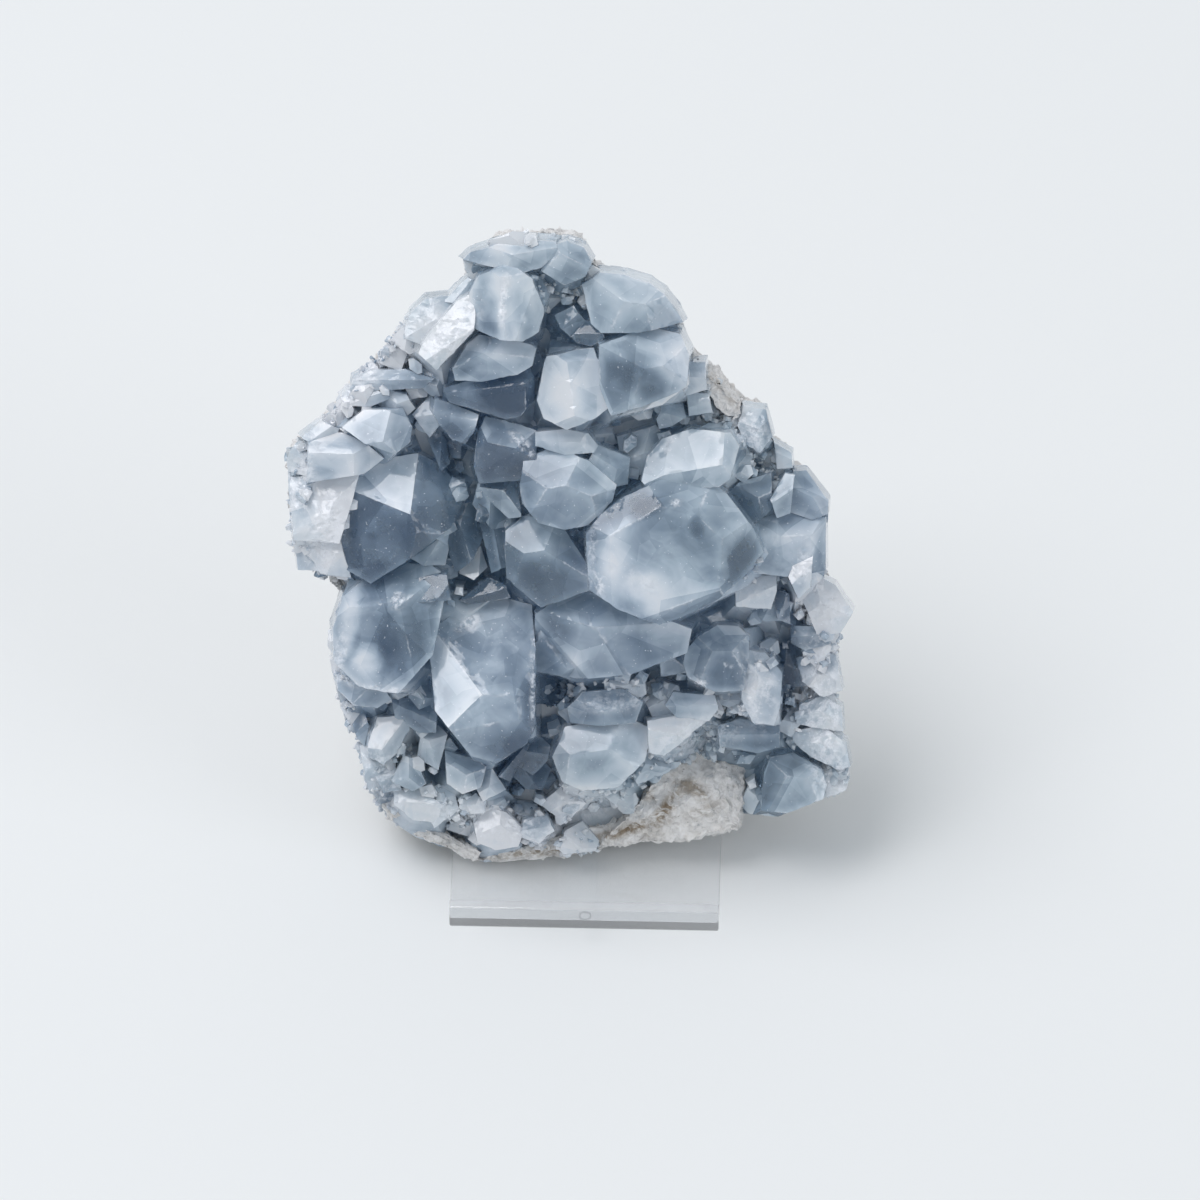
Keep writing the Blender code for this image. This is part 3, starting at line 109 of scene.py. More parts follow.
# Each crystal: its height above the rim, its outline as seen, and its end faces.
# An end face is the direction it falls to (0 right, 90 up), how steeply, and a point on it.
CRYSTALS = {
    "cap_left": (4, ((-17.2, 48.6), (-15.8, 50), (-11, 51.6), (-6, 52.2), (-1.5, 51.9), (-1, 50.2),
        (-4, 47.5), (-8, 46.5), (-13, 47.8)), ((95, 38, -8, 50.5), (200, 22, -10, 49), (290, 16, -6, 49))),
    "cap_right": (4, ((-2.5, 51.4), (0.5, 52), (3.2, 50.9), (4.6, 48.6), (3.5, 46), (0, 44.5), (-4, 47)),
        ((60, 34, 1, 50), (250, 20, 0, 48), (170, 30, -2, 49))),
    "upper_ridge": (9, ((-16, 43), (-14.5, 46), (-10.5, 47.8), (-8, 47.3), (-5.5, 45.5), (-3.5, 40),
        (-4.5, 36.5), (-7, 35), (-11, 35.3), (-15, 37), (-16, 39.5)), ((185, 32, -10.6, 41),
        (10, 14, -10.4, 41), (350, 38, -7.6, 41), (82, 42, -10, 45.8))),
    "white_break": (8, ((-16, 43), (-15, 40), (-15.3, 37), (-21.6, 30.2), (-24.7, 33), (-24, 35),
        (-18, 42)), ((128, 23, -19.5, 36.5), (300, 30, -17.5, 34.5))),
    "upper_left_slab": (2.5, ((-27, 37.5), (-26, 40), (-23.5, 42.4), (-18, 43), (-17, 41), (-24, 34.5),
        (-27, 35.6)), ((150, 22, -23, 39), (60, 20, -21, 40), (250, 14, -24, 38))),
    "edge_blade": (0.5, ((-20.8, 42), (-18.4, 44.2), (-16.6, 46.2), (-14.5, 45), (-18, 41.5)),
        ((140, 30, -18, 43.5), (320, 30, -17.5, 43))),
    "under_ridge": (7.5, ((-19, 30.5), (-16.5, 34.5), (-14, 36.5), (-11, 35.8), (-7, 35.5), (-4.8, 34),
        (-5.5, 31), (-8, 29.5), (-14, 28.3), (-18.5, 28.5)), ((125, 36, -14, 33.5), (75, 22, -9, 33),
        (275, 18, -11, 32.5))),
    "dark_rimmed": (7, ((-20.3, 28), (-14, 29.2), (-6.3, 31.5), (-5, 28.5), (-5.3, 25), (-7.5, 22.5),
        (-10, 22), (-19.5, 24.8), (-20.5, 26.5)), ((100, 26, -12, 27.8), (272, 24, -12, 27),
        (335, 46, -7.2, 26))),
    "lower_rimmed": (6, ((-22, 25.5), (-20, 25), (-13.5, 22.5), (-15.3, 20), (-16, 17.5), (-19, 18.5),
        (-20.8, 20.5), (-22.3, 23)), ((90, 20, -18, 23), (245, 20, -18, 22), (300, 46, -16.5, 20))),
    "pale_pillar": (9, ((-3.4, 31.5), (-3, 32.5), (2, 33.6), (4.8, 33.8), (6.5, 30), (7.5, 24), (5, 22),
        (0.3, 20.1), (-3.5, 22), (-4.6, 25)), ((188, 26, 1, 27), (8, 10, 1.2, 27), (12, 42, 5.8, 27),
        (262, 44, 0, 22.8), (84, 38, 1, 31.6))),
    "blue_block": (11, ((5.8, 34.5), (12, 36.5), (16, 36.8), (19.5, 36), (21, 32.5), (20.5, 27.5),
        (18, 25.5), (13, 24), (8, 22), (6, 27)), ((78, 30, 12, 32.5), (215, 18, 11, 29),
        (305, 26, 14, 28.5), (5, 30, 17, 32))),
    "pale_bar": (9.5, ((9.5, 22.6), (11.5, 24.8), (20.6, 31.4), (21, 27.8), (16.5, 24.4)),
        ((135, 22, 15, 26.8), (315, 42, 16.4, 25.6))),
    "grey_violet": (7, ((3, 44.5), (6, 46.5), (10, 46.1), (14.5, 44.7), (18, 42.1), (19, 40), (20.1, 38.5),
        (20, 36.5), (16, 36.5), (12, 36.3), (7.5, 35.2), (4.5, 38)), ((82, 32, 11, 42.5), (190, 24, 9, 41),
        (265, 15, 11, 40), (340, 24, 14, 40))),
    "dark_small_a": (3, ((-1.7, 39.5), (1.5, 41.2), (3.6, 38.5), (1, 35.8), (-0.8, 37.5)),
        ((135, 30, 1, 39), (310, 26, 1, 38.6))),
    "dark_small_b": (4, ((1, 36), (3.6, 38.7), (6, 37.7), (6.8, 35.8), (4.5, 34.3), (2, 34.9)),
        ((110, 30, 4, 37), (255, 34, 4, 36.2))),
    "edge_slab_a": (1.5, ((-36, 29), (-33, 30.3), (-27, 30.5), (-22, 29), (-24, 27.3), (-30, 27),
        (-36, 27)), ((95, 30, -30, 29), (265, 26, -30, 28.4))),
    "edge_slab_b": (1.5, ((-38, 25.8), (-37, 27), (-32, 27.2), (-29.3, 25.7), (-33, 24.2), (-37, 24.4)),
        ((120, 22, -34, 26), (280, 26, -33, 25.5))),
    "pink_slab": (6, ((-38, 20.3), (-34, 23.5), (-27.5, 23.7), (-26, 20.5), (-26.3, 18), (-30, 15.2),
        (-34, 18), (-37.5, 19.3)), ((128, 22, -32, 19.5), (8, 34, -30, 20), (265, 40, -32, 17.6))),
    "left_slab": (4.5, ((-43.5, 18.5), (-38, 19.7), (-33.5, 18), (-30.8, 15.3), (-34, 12.8), (-43.6, 11.3)),
        ((100, 34, -38, 16.8), (240, 16, -38, 15), (330, 26, -35, 15))),
    "left_knob": (1.5, ((-44.7, 19), (-41.2, 21.8), (-38.3, 20.5), (-38.8, 18.8), (-43, 18)),
        ((130, 26, -41.5, 20), (300, 26, -41, 19.6))),
    "great_dark": (7, ((-35, 12.8), (-29, 15.2), (-25, 16), (-21.5, 14), (-17, 9), (-19.5, 3.5),
        (-27.5, -2.5), (-33, -6), (-37.5, -3.5), (-38.7, 0), (-36.2, 8.5)), ((130, 22, -26.2, 6),
        (203, 27, -26.2, 6), (20, 31, -26.2, 6), (318, 32, -24.5, 4), (98, 46, -29, 13))),
    "broken_left": (4.5, ((-46.6, 12), (-34.9, 12.8), (-36, 8.5), (-38.3, 1), (-46, 1.5)),
        ((160, 24, -41, 6), (100, 20, -40, 9), (245, 22, -40, 4), (350, 20, -38.5, 7))),
    "broken_low": (3.5, ((-46, 2), (-38.2, 2), (-36.4, -4.8), (-41.5, -4.1)), ((205, 26, -40.5, -0.5),
        (285, 24, -39, -2), (110, 16, -41, 1))),
    "left_foot": (1, ((-46, 1.5), (-42.3, 0), (-41.8, -3.5), (-45.4, -3.5)), ((200, 26, -44, -1),
        (60, 20, -43.6, -0.8))),
    "cavity_prism": (-1, ((-23.3, 18.5), (-21.4, 20.7), (-20.2, 18.5), (-19.6, 14.5), (-21, 13.3)),
        ((150, 30, -21.4, 17), (10, 50, -20.9, 17))),
    "cavity_chip": (1, ((-20.3, 12.5), (-17, 11.6), (-16.6, 10.5), (-18.9, 9)), ((120, 34, -18.5, 11),
        (290, 40, -18.4, 10.8))),
    "violet_steep": (7, ((-14.8, 19.5), (-13.4, 22.5), (-7, 20.8), (-4.8, 20), (-4.8, 15), (-8, 11.5),
        (-14.4, 11), (-15.4, 14)), ((72, 22, -10, 18.3), (262, 30, -10, 17), (185, 46, -13.4, 16),
        (25, 20, -8, 18))),
    "violet_foot": (4.5, ((-14, 12.5), (-8.2, 12.3), (-7.4, 5.5), (-9.5, 5.2), (-12.6, 8), (-14.5, 10.5)),
        ((100, 34, -11, 10.6), (240, 30, -10, 9), (15, 30, -9.4, 9))),
    "round_pale": (11, ((-7.6, 10.5), (-6.9, 15), (-3, 16.6), (1, 16.1), (4, 14.9), (8.7, 10.8), (8, 8),
        (4, 4), (0, 3.2), (-4.5, 4.4), (-7, 7.5)), ((108, 28, 0, 12.5), (45, 22, 2.5, 11.5),
        (268, 24, 0, 9), (190, 30, -4, 10), (325, 30, 4, 8))),
    "navy_wedge": (7.5, ((4, 15), (5.3, 17.7), (11, 15.4), (10.6, 11), (8.6, 10.6)), ((70, 34, 8, 14.6),
        (215, 20, 7.5, 13.6), (330, 40, 9, 13))),
    "cloudy_back": (7, ((-5, 19.8), (0, 20.3), (4, 19.6), (5.6, 17.5), (4, 14.8), (0, 16), (-5, 15.6)),
        ((95, 30, 0, 18.6), (255, 16, 0, 17.6), (20, 30, 3.4, 17.6))),
    "twin_facets": (9, ((13, 11.5), (14, 15.5), (16.5, 18.5), (21.5, 20.3), (28, 19.7), (29.5, 17.3),
        (28, 12), (26, 10.5), (20, 10.3), (14, 10.4)), ((138, 25, 19, 14.5), (118, 18, 22.5, 15),
        (20, 34, 27.4, 16), (262, 18, 22, 12.5))),
    "crevice_block": (3.5, ((15.5, 22), (16.5, 24.6), (20, 24.6), (20.7, 22.5), (18, 20.8), (16, 20.4)),
        ((80, 28, 18, 23.4), (250, 30, 18, 22.4))),
    "great_blue": (16, ((3.6, 2.5), (6, 5.6), (10, 8.7), (15.5, 11.3), (20, 12.5), (24, 11.6), (27.3, 9),
        (31.6, 3.5), (33.3, -1), (30, -5), (26, -8.5), (20, -11.5), (16, -12.9), (9, -10.2), (4.2, -7),
        (3.9, -2)), ((76, 34, 18, 8), (192, 30, 8, 0), (258, 6, 17, 0), (285, 32, 19, -8),
        (352, 44, 26.6, -1), (42, 36, 23.5, 6), (128, 26, 11.5, 5.5))),
    "pale_face": (9, ((-10, 3), (-7, 5.4), (-2, 5), (0, 3.2), (3.4, -2), (4.2, -7), (0, -8.6), (-4, -10),
        (-8, -6.7), (-9.8, -5), (-10.2, 0)), ((112, 28, -4, 1.5), (35, 24, -1.5, 0.5), (262, 24, -4, -2),
        (195, 34, -7.4, -1.5))),
    "right_dark": (4, ((27.2, 9.2), (29.5, 11.4), (35, 12.8), (35.2, 6.8), (32, 4), (29.5, 5.6)),
        ((70, 30, 32, 10), (230, 24, 31.5, 8.6), (340, 30, 33.6, 8.6))),
    "right_knob": (2.5, ((38, 9), (38.8, 13.2), (41, 13.2), (44.7, 8.2), (44.6, 6), (42, 5), (38.3, 6.3)),
        ((60, 34, 41, 10), (250, 24, 41, 8.6), (0, 30, 42.6, 8.6))),
    "right_pink": (4, ((34.8, 8.5), (37.4, 12.9), (39, 12.6), (38.2, 6), (36, 5.3)), ((130, 26, 36.8, 9.6),
        (300, 34, 37, 8.8))),
    "right_block": (4.5, ((32.5, 5), (38, 6.6), (44.3, 5.4), (44.2, -3.6), (41, -4.2), (38, -4.7), (32, -4),
        (31.8, 2)), ((95, 22, 38, 3.4), (268, 10, 38, 0), (350, 38, 42, 0))),
    "white_bar": (6, ((39.9, 0.4), (42.2, 0.1), (41.7, -6.6), (39.6, -8.4), (37.9, -4.6)),
        ((128, 20, 40.3, -3), (320, 30, 41, -4))),
    "pale_block": (4.5, ((30, -4.6), (36, -4.3), (36, -7), (35, -10.2), (29, -9.7), (29, -6.5)),
        ((120, 22, 33, -6.8), (290, 30, 33, -7.6))),
    "violet_chip": (3, ((35.4, -6.8), (38.2, -7.4), (38.3, -12.7), (36, -11.7)), ((150, 30, 36.8, -9),
        (350, 30, 37.4, -9))),
    "far_right": (1.5, ((40, -7.5), (44, -5), (46, -6.1), (49, -10.6), (46.9, -14.2), (43, -14.7),
        (41, -10)), ((60, 24, 44.6, -8), (255, 26, 44.6, -11), (160, 30, 42.4, -9))),
    "right_grey": (1.5, ((38.5, -13), (44, -13), (45.4, -16), (41, -17.3), (38.5, -16)),
        ((100, 24, 41.6, -14.2), (270, 30, 41.6, -15))),
    "round_dome": (11, ((-37.5, -8.5), (-33.5, -5.4), (-28, -2.9), (-23, -3.1), (-20, -5), (-18.5, -8),
        (-18.5, -13.5), (-22.5, -18), (-23.8, -24.3), (-30, -24.5), (-35, -23.5), (-39, -19.5),
        (-39.3, -14)), ((118, 40, -28, -9.5), (150, 46, -33.5, -10.5), (203, 22, -28, -9.5),
        (352, 13, -28, -9.5), (262, 32, -30, -20.5), (75, 44, -25, -6.5), (235, 40, -35, -18))),
    "dome_facet": (7.9, ((-24.8, -4.8), (-20, -4), (-19.4, -8.6), (-24.8, -9)), ((130, 22, -22, -6.5),
        (330, 44, -20.6, -8))),
    "great_block": (14, ((-22.5, -14.5), (-19, -12), (-16, -10.4), (-11, -9.2), (-6, -10.4), (-5.2, -17),
        (-5.1, -30), (-6.5, -33), (-11.5, -36.4), (-16, -35.2), (-21.6, -32.5), (-22, -27.5), (-24, -25),
        (-23.5, -20)), ((140, 24, -14.1, -24.5), (95, 27, -14.1, -24.5), (170, 4, -14.1, -24.5),
        (272, 24, -14, -30), (12, 34, -8, -24))),
    "hex_plate": (9.5, ((-0.5, -8), (-5, -11), (-5, -20.5), (2, -22.3), (11, -21.3), (20.7, -17.6),
        (21.6, -13.4), (17, -11.6), (8, -8.6), (3, -7)), ((226, 62, 2.4, -17.8), (238, 28, 5.5, -15),
        (278, 13, 11, -15.5), (92, 26, 10, -11.5))),
    "knob": (7.5, ((20.6, -17.5), (22.5, -14.9), (26, -13.1), (29.5, -13.3), (31.3, -15), (31.2, -19),
        (30.2, -24.1), (25.5, -24.3), (21, -22), (20.2, -19.5)), ((85, 34, 26, -16.4), (180, 30, 24, -18.4),
        (285, 16, 26.4, -19), (5, 34, 29, -18))),
    "frosted": (7.5, ((31.3, -17.2), (34, -17.7), (37, -21), (36.6, -27), (35.5, -30), (32, -29.6),
        (30, -25.5), (30.6, -20)), ((60, 34, 34, -20.4), (280, 16, 33.4, -24), (200, 24, 32, -23))),
    "grey_pane": (5, ((18.5, -24.3), (25.5, -24.8), (26.2, -27), (24.5, -29.2), (19, -28.6), (17, -26.5)),
        ((95, 24, 22, -26), (270, 20, 22, -27))),
    "grey_slab": (4.5, ((26, -30), (30, -28.9), (36.6, -30), (36.6, -33.6), (33, -34.7), (26.4, -33.6)),
        ((92, 26, 31, -31), (268, 20, 31, -32))),
    "pale_drum": (8, ((-2.1, -35.5), (0, -30.4), (5, -29.4), (11, -29), (14.6, -31), (13.6, -36),
        (9, -40.6), (3, -41.2), (-0.5, -39.6)), ((104, 26, 5, -33), (30, 30, 9, -33), (196, 40, 0.4, -35),
        (268, 20, 6, -36))),
    "drum_back": (6, ((0.4, -27), (3, -24.3), (10, -23.8), (13.2, -26), (12, -29.6), (6, -30), (1, -29.6)),
        ((90, 28, 6, -26), (220, 24, 4, -27), (320, 24, 9, -27.4))),
    "arrow_slab": (7, ((14, -29.2), (19, -28.3), (24.2, -29.4), (20, -32.7), (17, -35.2), (14.3, -34.7)),
        ((92, 26, 18, -30.4), (250, 18, 17, -32), (330, 36, 19.6, -31.6))),
    "column_a": (1, ((39.4, -18.5), (43, -17.4), (46.2, -18), (47.2, -24), (44, -25.2), (40.4, -22.5)),
        ((80, 24, 43, -20), (190, 26, 42, -21), (280, 30, 44, -22))),
    "column_b": (1, ((40, -26.5), (44, -24.8), (47.2, -27), (47.4, -31), (43, -30.4), (39.4, -29.6)),
        ((110, 26, 43, -27), (270, 26, 43, -28.6), (10, 30, 45.4, -28))),
    "column_c": (2, ((38.9, -31), (44, -30), (48, -33), (48.6, -37), (45, -38.2), (42, -35.5), (38.5, -34)),
        ((100, 22, 43.4, -32), (240, 24, 43, -34), (0, 30, 46.6, -34.4))),
    "corner_pale": (1, ((43.8, -38), (48.5, -37), (48, -41), (45.4, -42.1), (42, -43)),
        ((60, 20, 45.6, -39.4), (230, 26, 45, -40.6))),
    "corner_dark": (4.5, ((35, -35.4), (39, -34.8), (43.6, -37.4), (44.6, -40), (44, -42.6), (38, -45),
        (33.5, -44.6), (34, -38)), ((80, 28, 39, -37.4), (190, 26, 36.6, -40), (275, 20, 39, -40.4),
        (350, 30, 42, -40))),
    "dome_skirt": (5, ((-39, -21), (-35, -22.4), (-31, -23.4), (-29.6, -25.5), (-32, -27), (-36, -26.5),
        (-38.7, -24)), ((160, 24, -35, -24), (290, 24, -34, -25))),
    "shade_block": (3.5, ((-29.6, -25.4), (-24.5, -25.2), (-21.8, -27.8), (-22, -31.2), (-25, -31.2),
        (-29, -28.6)), ((70, 30, -25.6, -27), (240, 26, -26, -28.4))),
    "lilac_face": (4.5, ((-33.6, -33), (-32, -28.7), (-28, -28.3), (-26.4, -30.5), (-29, -35), (-31, -36.7),
        (-33.6, -35.5)), ((132, 22, -30.6, -31.6), (330, 30, -29, -32), (240, 36, -32, -34.4))),
    "edge_low_left": (0.5, ((-37.6, -29.6), (-34.5, -27), (-33.4, -30), (-34.6, -35), (-35.6, -32)),
        ((150, 26, -35.4, -30), (300, 30, -34.8, -31))),
    "small_pyramid": (5, ((-29.7, -39.5), (-27.5, -35.1), (-25.5, -35.8), (-23.8, -40), (-26, -41.3)),
        ((150, 30, -27, -38), (20, 40, -26.4, -38), (270, 34, -27, -39.4))),
    "grey_low_left": (3, ((-33.2, -37), (-29, -36.8), (-28, -41), (-31, -41.6)), ((120, 24, -30.6, -38.4),
        (290, 24, -30.4, -39.4))),
    "low_blue": (5.5, ((-20.5, -34.3), (-15, -35.8), (-13.4, -37), (-14.4, -40.6), (-17.5, -41.7),
        (-20.2, -40)), ((80, 26, -17, -37), (220, 30, -18, -38.6), (310, 30, -16, -39))),
    "low_pyramid": (4, ((-13, -36.4), (-15.6, -40), (-14, -43), (-10.2, -41)), ((150, 34, -13.2, -39.6),
        (10, 40, -12.6, -39.6), (270, 34, -13, -41))),
    "low_ball": (4, ((-17, -43), (-15.3, -41.6), (-13.4, -43), (-13.8, -45), (-16.2, -45.2)),
        ((120, 34, -15.4, -43), (270, 34, -15.2, -43.8), (10, 34, -14.8, -43.6))),
    "foot_crystal": (3.5, ((-15.6, -46.8), (-13, -44), (-10, -44.8), (-7, -48), (-8, -50.7), (-12, -51.4),
        (-15, -50)), ((135, 22, -12.6, -46.4), (30, 28, -9.8, -47), (265, 18, -11.6, -48.6))),
    "foot_crystal_b": (3, ((-7.2, -46), (-3, -45.3), (-1.8, -48), (-4.5, -50.2), (-7.6, -49.2)),
        ((110, 24, -5, -47), (270, 24, -5, -48))),
    "lilac_slab": (3.5, ((-29.2, -41), (-25, -40.4), (-20.8, -43.5), (-22, -46.6), (-26, -46.2),
        (-29.2, -43.5)), ((105, 20, -25, -42.6), (250, 20, -25, -44))),
    "slit_blade": (2.5, ((-11.5, -38.6), (-7, -32.3), (-6, -33.3), (-9.4, -39.6)), ((140, 40, -9, -35.8),
        (320, 40, -8.8, -36))),
    "slit_facet": (0, ((-8, -33), (-5, -31.3), (-2.4, -33.5), (-3, -36), (-5.5, -38.6), (-8, -37)),
        ((95, 28, -5, -34), (250, 30, -5.4, -35))),
    "stripe_prism": (2.5, ((-27.2, -1), (-24.5, 1.2), (-20.2, 3.6), (-19.8, 0), (-20.4, -2.7), (-24, -2.7)),
        ((128, 20, -23.6, -0.2), (340, 34, -22, 0))),
    "triangle_face": (0.5, ((-14.8, 2), (-13.2, -3), (-15.5, -5.1), (-18, -4), (-17.7, -2.4)),
        ((140, 22, -15.6, -2.4), (10, 46, -14.3, -2))),
    "dark_prism_a": (2, ((-20, 7), (-15.5, 8), (-13.2, 4), (-15.4, -1.6), (-18.5, -4), (-20, 0)),
        ((195, 44, -17.6, 2), (20, 40, -16.6, 2), (95, 30, -17, 5))),
    "dark_prism_b": (2, ((-14.6, 5), (-11.5, 7), (-9.7, 3.5), (-10.2, -3), (-12.5, -4)),
        ((190, 40, -12.2, 1.6), (10, 36, -11.2, 1.6))),
    "dark_wedge": (3.5, ((-18, -8.6), (-13, -4.8), (-10, -6), (-9.3, -8.2), (-16.5, -9.4)),
        ((110, 34, -13, -6.8), (280, 30, -13, -7.8))),
    "ridge_grey": (2.5, ((30.3, 24.2), (34.1, 23.6), (35.2, 19), (33, 16.3), (30.5, 18), (29.3, 21)),
        ((95, 30, 32, 21.6), (220, 26, 31.4, 20), (340, 30, 33.6, 20))),
    "ridge_chip": (0.5, ((35.5, 18.2), (38.5, 16.4), (38.6, 13.9), (36, 13.6)), ((70, 30, 37, 16.4),
        (240, 26, 36.8, 15.6))),
    "strip_blue_a": (3.5, ((20.3, 31.7), (23.8, 31.6), (24, 27), (20.5, 26)), ((80, 26, 22, 29.8),
        (270, 26, 22, 28.6))),
    "strip_blue_b": (3.5, ((20.6, 26.6), (24.3, 26.4), (25, 23.2), (21, 22.6)), ((110, 26, 22.6, 25.2),
        (290, 26, 22.8, 24.2))),
}  # fmt: skip

# Places left open between the crystals, where real shade falls and the crystals are also painted darker as
# painted shade: centre right, centre up, half width, half height
HOLLOWS = (
    (-20.6, 16.0, 5.5, 7.5), (-15.0, 0.5, 5.0, 8.5), (-2.4, -22.3, 3.2, 9.5), (-7.1, -38.0, 4.2, 7.5),
    (-3.9, 31.0, 1.8, 7.5), (13.0, 20.4, 6.5, 2.6), (38.0, -20.5, 2.2, 8.0), (15.5, -21.0, 3.5, 1.6),
    (25.5, -11.8, 5.0, 1.8), (36.0, -13.5, 2.4, 3.5), (-27.5, 16.2, 2.0, 1.6), (0.5, 38.5, 3.0, 3.0),
    (-26.0, -27.5, 3.5, 2.0), (2.0, 2.0, 1.6, 3.4), (-14.0, 47.0, 1.6, 1.2),
)  # fmt: skip

# Bare matrix that reaches the rim: height above the rim, outline as seen, faces as on a crystal
BARE_MATRIX = {
    "bare_right": (0.8, ((12.8, -42.5), (17, -37.4), (23, -34), (30.6, -37.4), (30.4, -45), (29.6, -48.2),
        (18.2, -50.1), (5.5, -51.3)), ((265, 30, 18, -45), (100, 14, 21, -41), (20, 24, 26, -43),
        (185, 20, 15, -43))),
    "bare_foot": (-0.6, ((7, -51.2), (-4.6, -52.9), (-11.1, -53.6), (-14.8, -53.3), (-14, -51.4),
        (2, -47.8), (9, -45.6)), ((268, 28, -2, -50.4), (95, 10, -2, -50))),
    "bare_left": (-1.2, ((-30.2, -45.9), (-26, -48.9), (-15, -53.3), (-14.2, -51.6), (-24, -46.6),
        (-28.6, -44.4)), ((240, 30, -24, -48), (70, 12, -23, -47.4))),
    "bare_corner": (-1.2, ((-33.6, -40.4), (-29.6, -46.2), (-27.6, -45), (-32, -38.8)),
        ((215, 30, -31, -43), (40, 14, -30.6, -42.6))),
    "bare_ridge": (1.0, ((20.8, 33.8), (29.8, 24.4), (29.2, 21.8), (27, 22.4), (23.8, 27), (21, 31)),
        ((48, 30, 27, 27.6), (230, 14, 25, 27))),
}  # fmt: skip

# How pale and cloudy each crystal is, from clear deep blue (0) to milky (1)
PALE = {
    "cap_left": 0.55, "cap_right": 0.35, "upper_ridge": 0.5, "white_break": 0.95,
    "upper_left_slab": 0.4, "edge_blade": 0.3, "under_ridge": 0.4, "dark_rimmed": 0.3,
    "lower_rimmed": 0.35, "pale_pillar": 0.65, "blue_block": 0.55, "grey_violet": 0.4,
    "dark_small_a": 0.1, "dark_small_b": 0.2, "edge_slab_a": 0.35, "edge_slab_b": 0.65,
    "pink_slab": 0.35, "left_slab": 0.65, "left_knob": 0.5, "great_dark": 0.05, "broken_left": 0.75,
    "broken_low": 0.75, "left_foot": 0.5, "cavity_prism": 0.35, "cavity_chip": 0.35,
    "violet_steep": 0.25, "violet_foot": 0.25, "round_pale": 0.5, "navy_wedge": 0.35,
    "cloudy_back": 0.6, "twin_facets": 0.45, "crevice_block": 0.55, "great_blue": 0.3,
    "pale_face": 0.35, "right_dark": 0.15, "right_knob": 0.35, "right_pink": 0.5, "right_block": 0.45,
    "white_bar": 0.85, "pale_block": 0.85, "violet_chip": 0.2, "far_right": 0.65, "right_grey": 0.25,
    "round_dome": 0.5, "great_block": 0.35, "hex_plate": 0.45, "knob": 0.55, "frosted": 0.7,
    "grey_pane": 0.4, "grey_slab": 0.25, "pale_drum": 0.6, "drum_back": 0.4, "arrow_slab": 0.6,
    "column_a": 0.6, "column_b": 0.55, "column_c": 0.55, "corner_pale": 0.7, "corner_dark": 0.25,
    "dome_skirt": 0.4, "shade_block": 0.4, "lilac_face": 0.55, "edge_low_left": 0.45,
    "small_pyramid": 0.5, "grey_low_left": 0.25, "low_blue": 0.3, "low_pyramid": 0.6, "low_ball": 0.6,
    "foot_crystal": 0.6, "foot_crystal_b": 0.5, "lilac_slab": 0.65, "slit_blade": 0.1,
    "slit_facet": 0.2, "stripe_prism": 0.5, "triangle_face": 1, "dark_prism_a": 0.25,
    "dark_prism_b": 0.1, "dome_facet": 0.15, "pale_bar": 1, "dark_wedge": 0, "ridge_grey": 0.3,
    "ridge_chip": 0.65, "strip_blue_a": 0.45, "strip_blue_b": 0.55,
}  # fmt: skip

# Frosted and bruised places as seen: right, up, half length, half width, turn of the length, strength
FROST = (
    (-10.3, 42.0, 5.2, 0.8, 85, 1.0), (-19.3, 36.5, 7.5, 3.4, 52, 0.9), (-7.3, 18.0, 3.4, 1.3, 130, 1.0),
    (-10.2, 21.8, 3.6, 0.35, 165, 0.9), (12.2, 23.5, 5.0, 0.4, 17, 0.8), (-40.8, 3.0, 9.5, 3.8, 80, 0.8),
    (-45.0, 11.0, 8.0, 3.2, 85, 0.8), (18.7, 8.0, 1.0, 0.7, 20, 1.0), (9.0, 7.5, 3.4, 0.5, 35, 0.8),
    (5.6, -5.5, 2.4, 1.6, 100, 0.9), (13.0, -5.5, 5.0, 1.8, 145, 0.45), (4.6, 0.0, 6.0, 1.2, 88, 0.55),
    (-28.4, -8.8, 1.6, 1.3, 40, 1.0), (-31.0, -23.6, 7.5, 0.7, 172, 0.8), (-38.5, -19.0, 8.0, 1.4, 80, 0.7),
    (-5.4, -23.0, 9.5, 0.6, 90, 0.9), (-16.5, -12.5, 3.0, 1.1, 25, 0.8), (27.8, -19.8, 1.8, 0.4, 152, 0.9),
    (23.0, -22.5, 1.5, 1.4, 0, 1.0), (33.0, -24.0, 7.5, 3.4, 95, 0.85), (43.8, -27.0, 14.0, 4.6, 92, 0.9),
    (45.6, -38.5, 5.0, 3.6, 120, 0.9), (-22.0, 19.8, 1.0, 0.8, 60, 1.0), (-24.0, 39.5, 6.0, 2.0, 45, 0.6),
    (0.0, 52.5, 8.0, 1.2, 0, 0.4), (-37.0, 27.0, 13.0, 2.6, 42, 0.7), (30.0, 22.0, 11.0, 3.2, 128, 0.8),
    (40.3, -3.0, 4.6, 1.8, 80, 0.7), (33.5, -7.0, 3.6, 2.4, 0, 0.5), (22.0, -32.0, 9.0, 4.0, 15, 0.65),
    (10.0, -25.5, 10.0, 2.4, 8, 0.5), (-10.0, -47.0, 17.0, 3.4, 168, 0.65), (3.0, -44.0, 8.0, 3.4, 5, 0.65),
    (-7.5, 8.0, 4.0, 0.5, 100, 0.5), (26.0, 19.5, 3.0, 0.8, 20, 0.5), (-31.0, -39.0, 8.0, 3.4, 112, 0.65),
    (44.5, -10.0, 5.0, 4.0, 100, 0.6), (-44.0, 17.0, 5.0, 2.6, 60, 0.6),
)  # fmt: skip
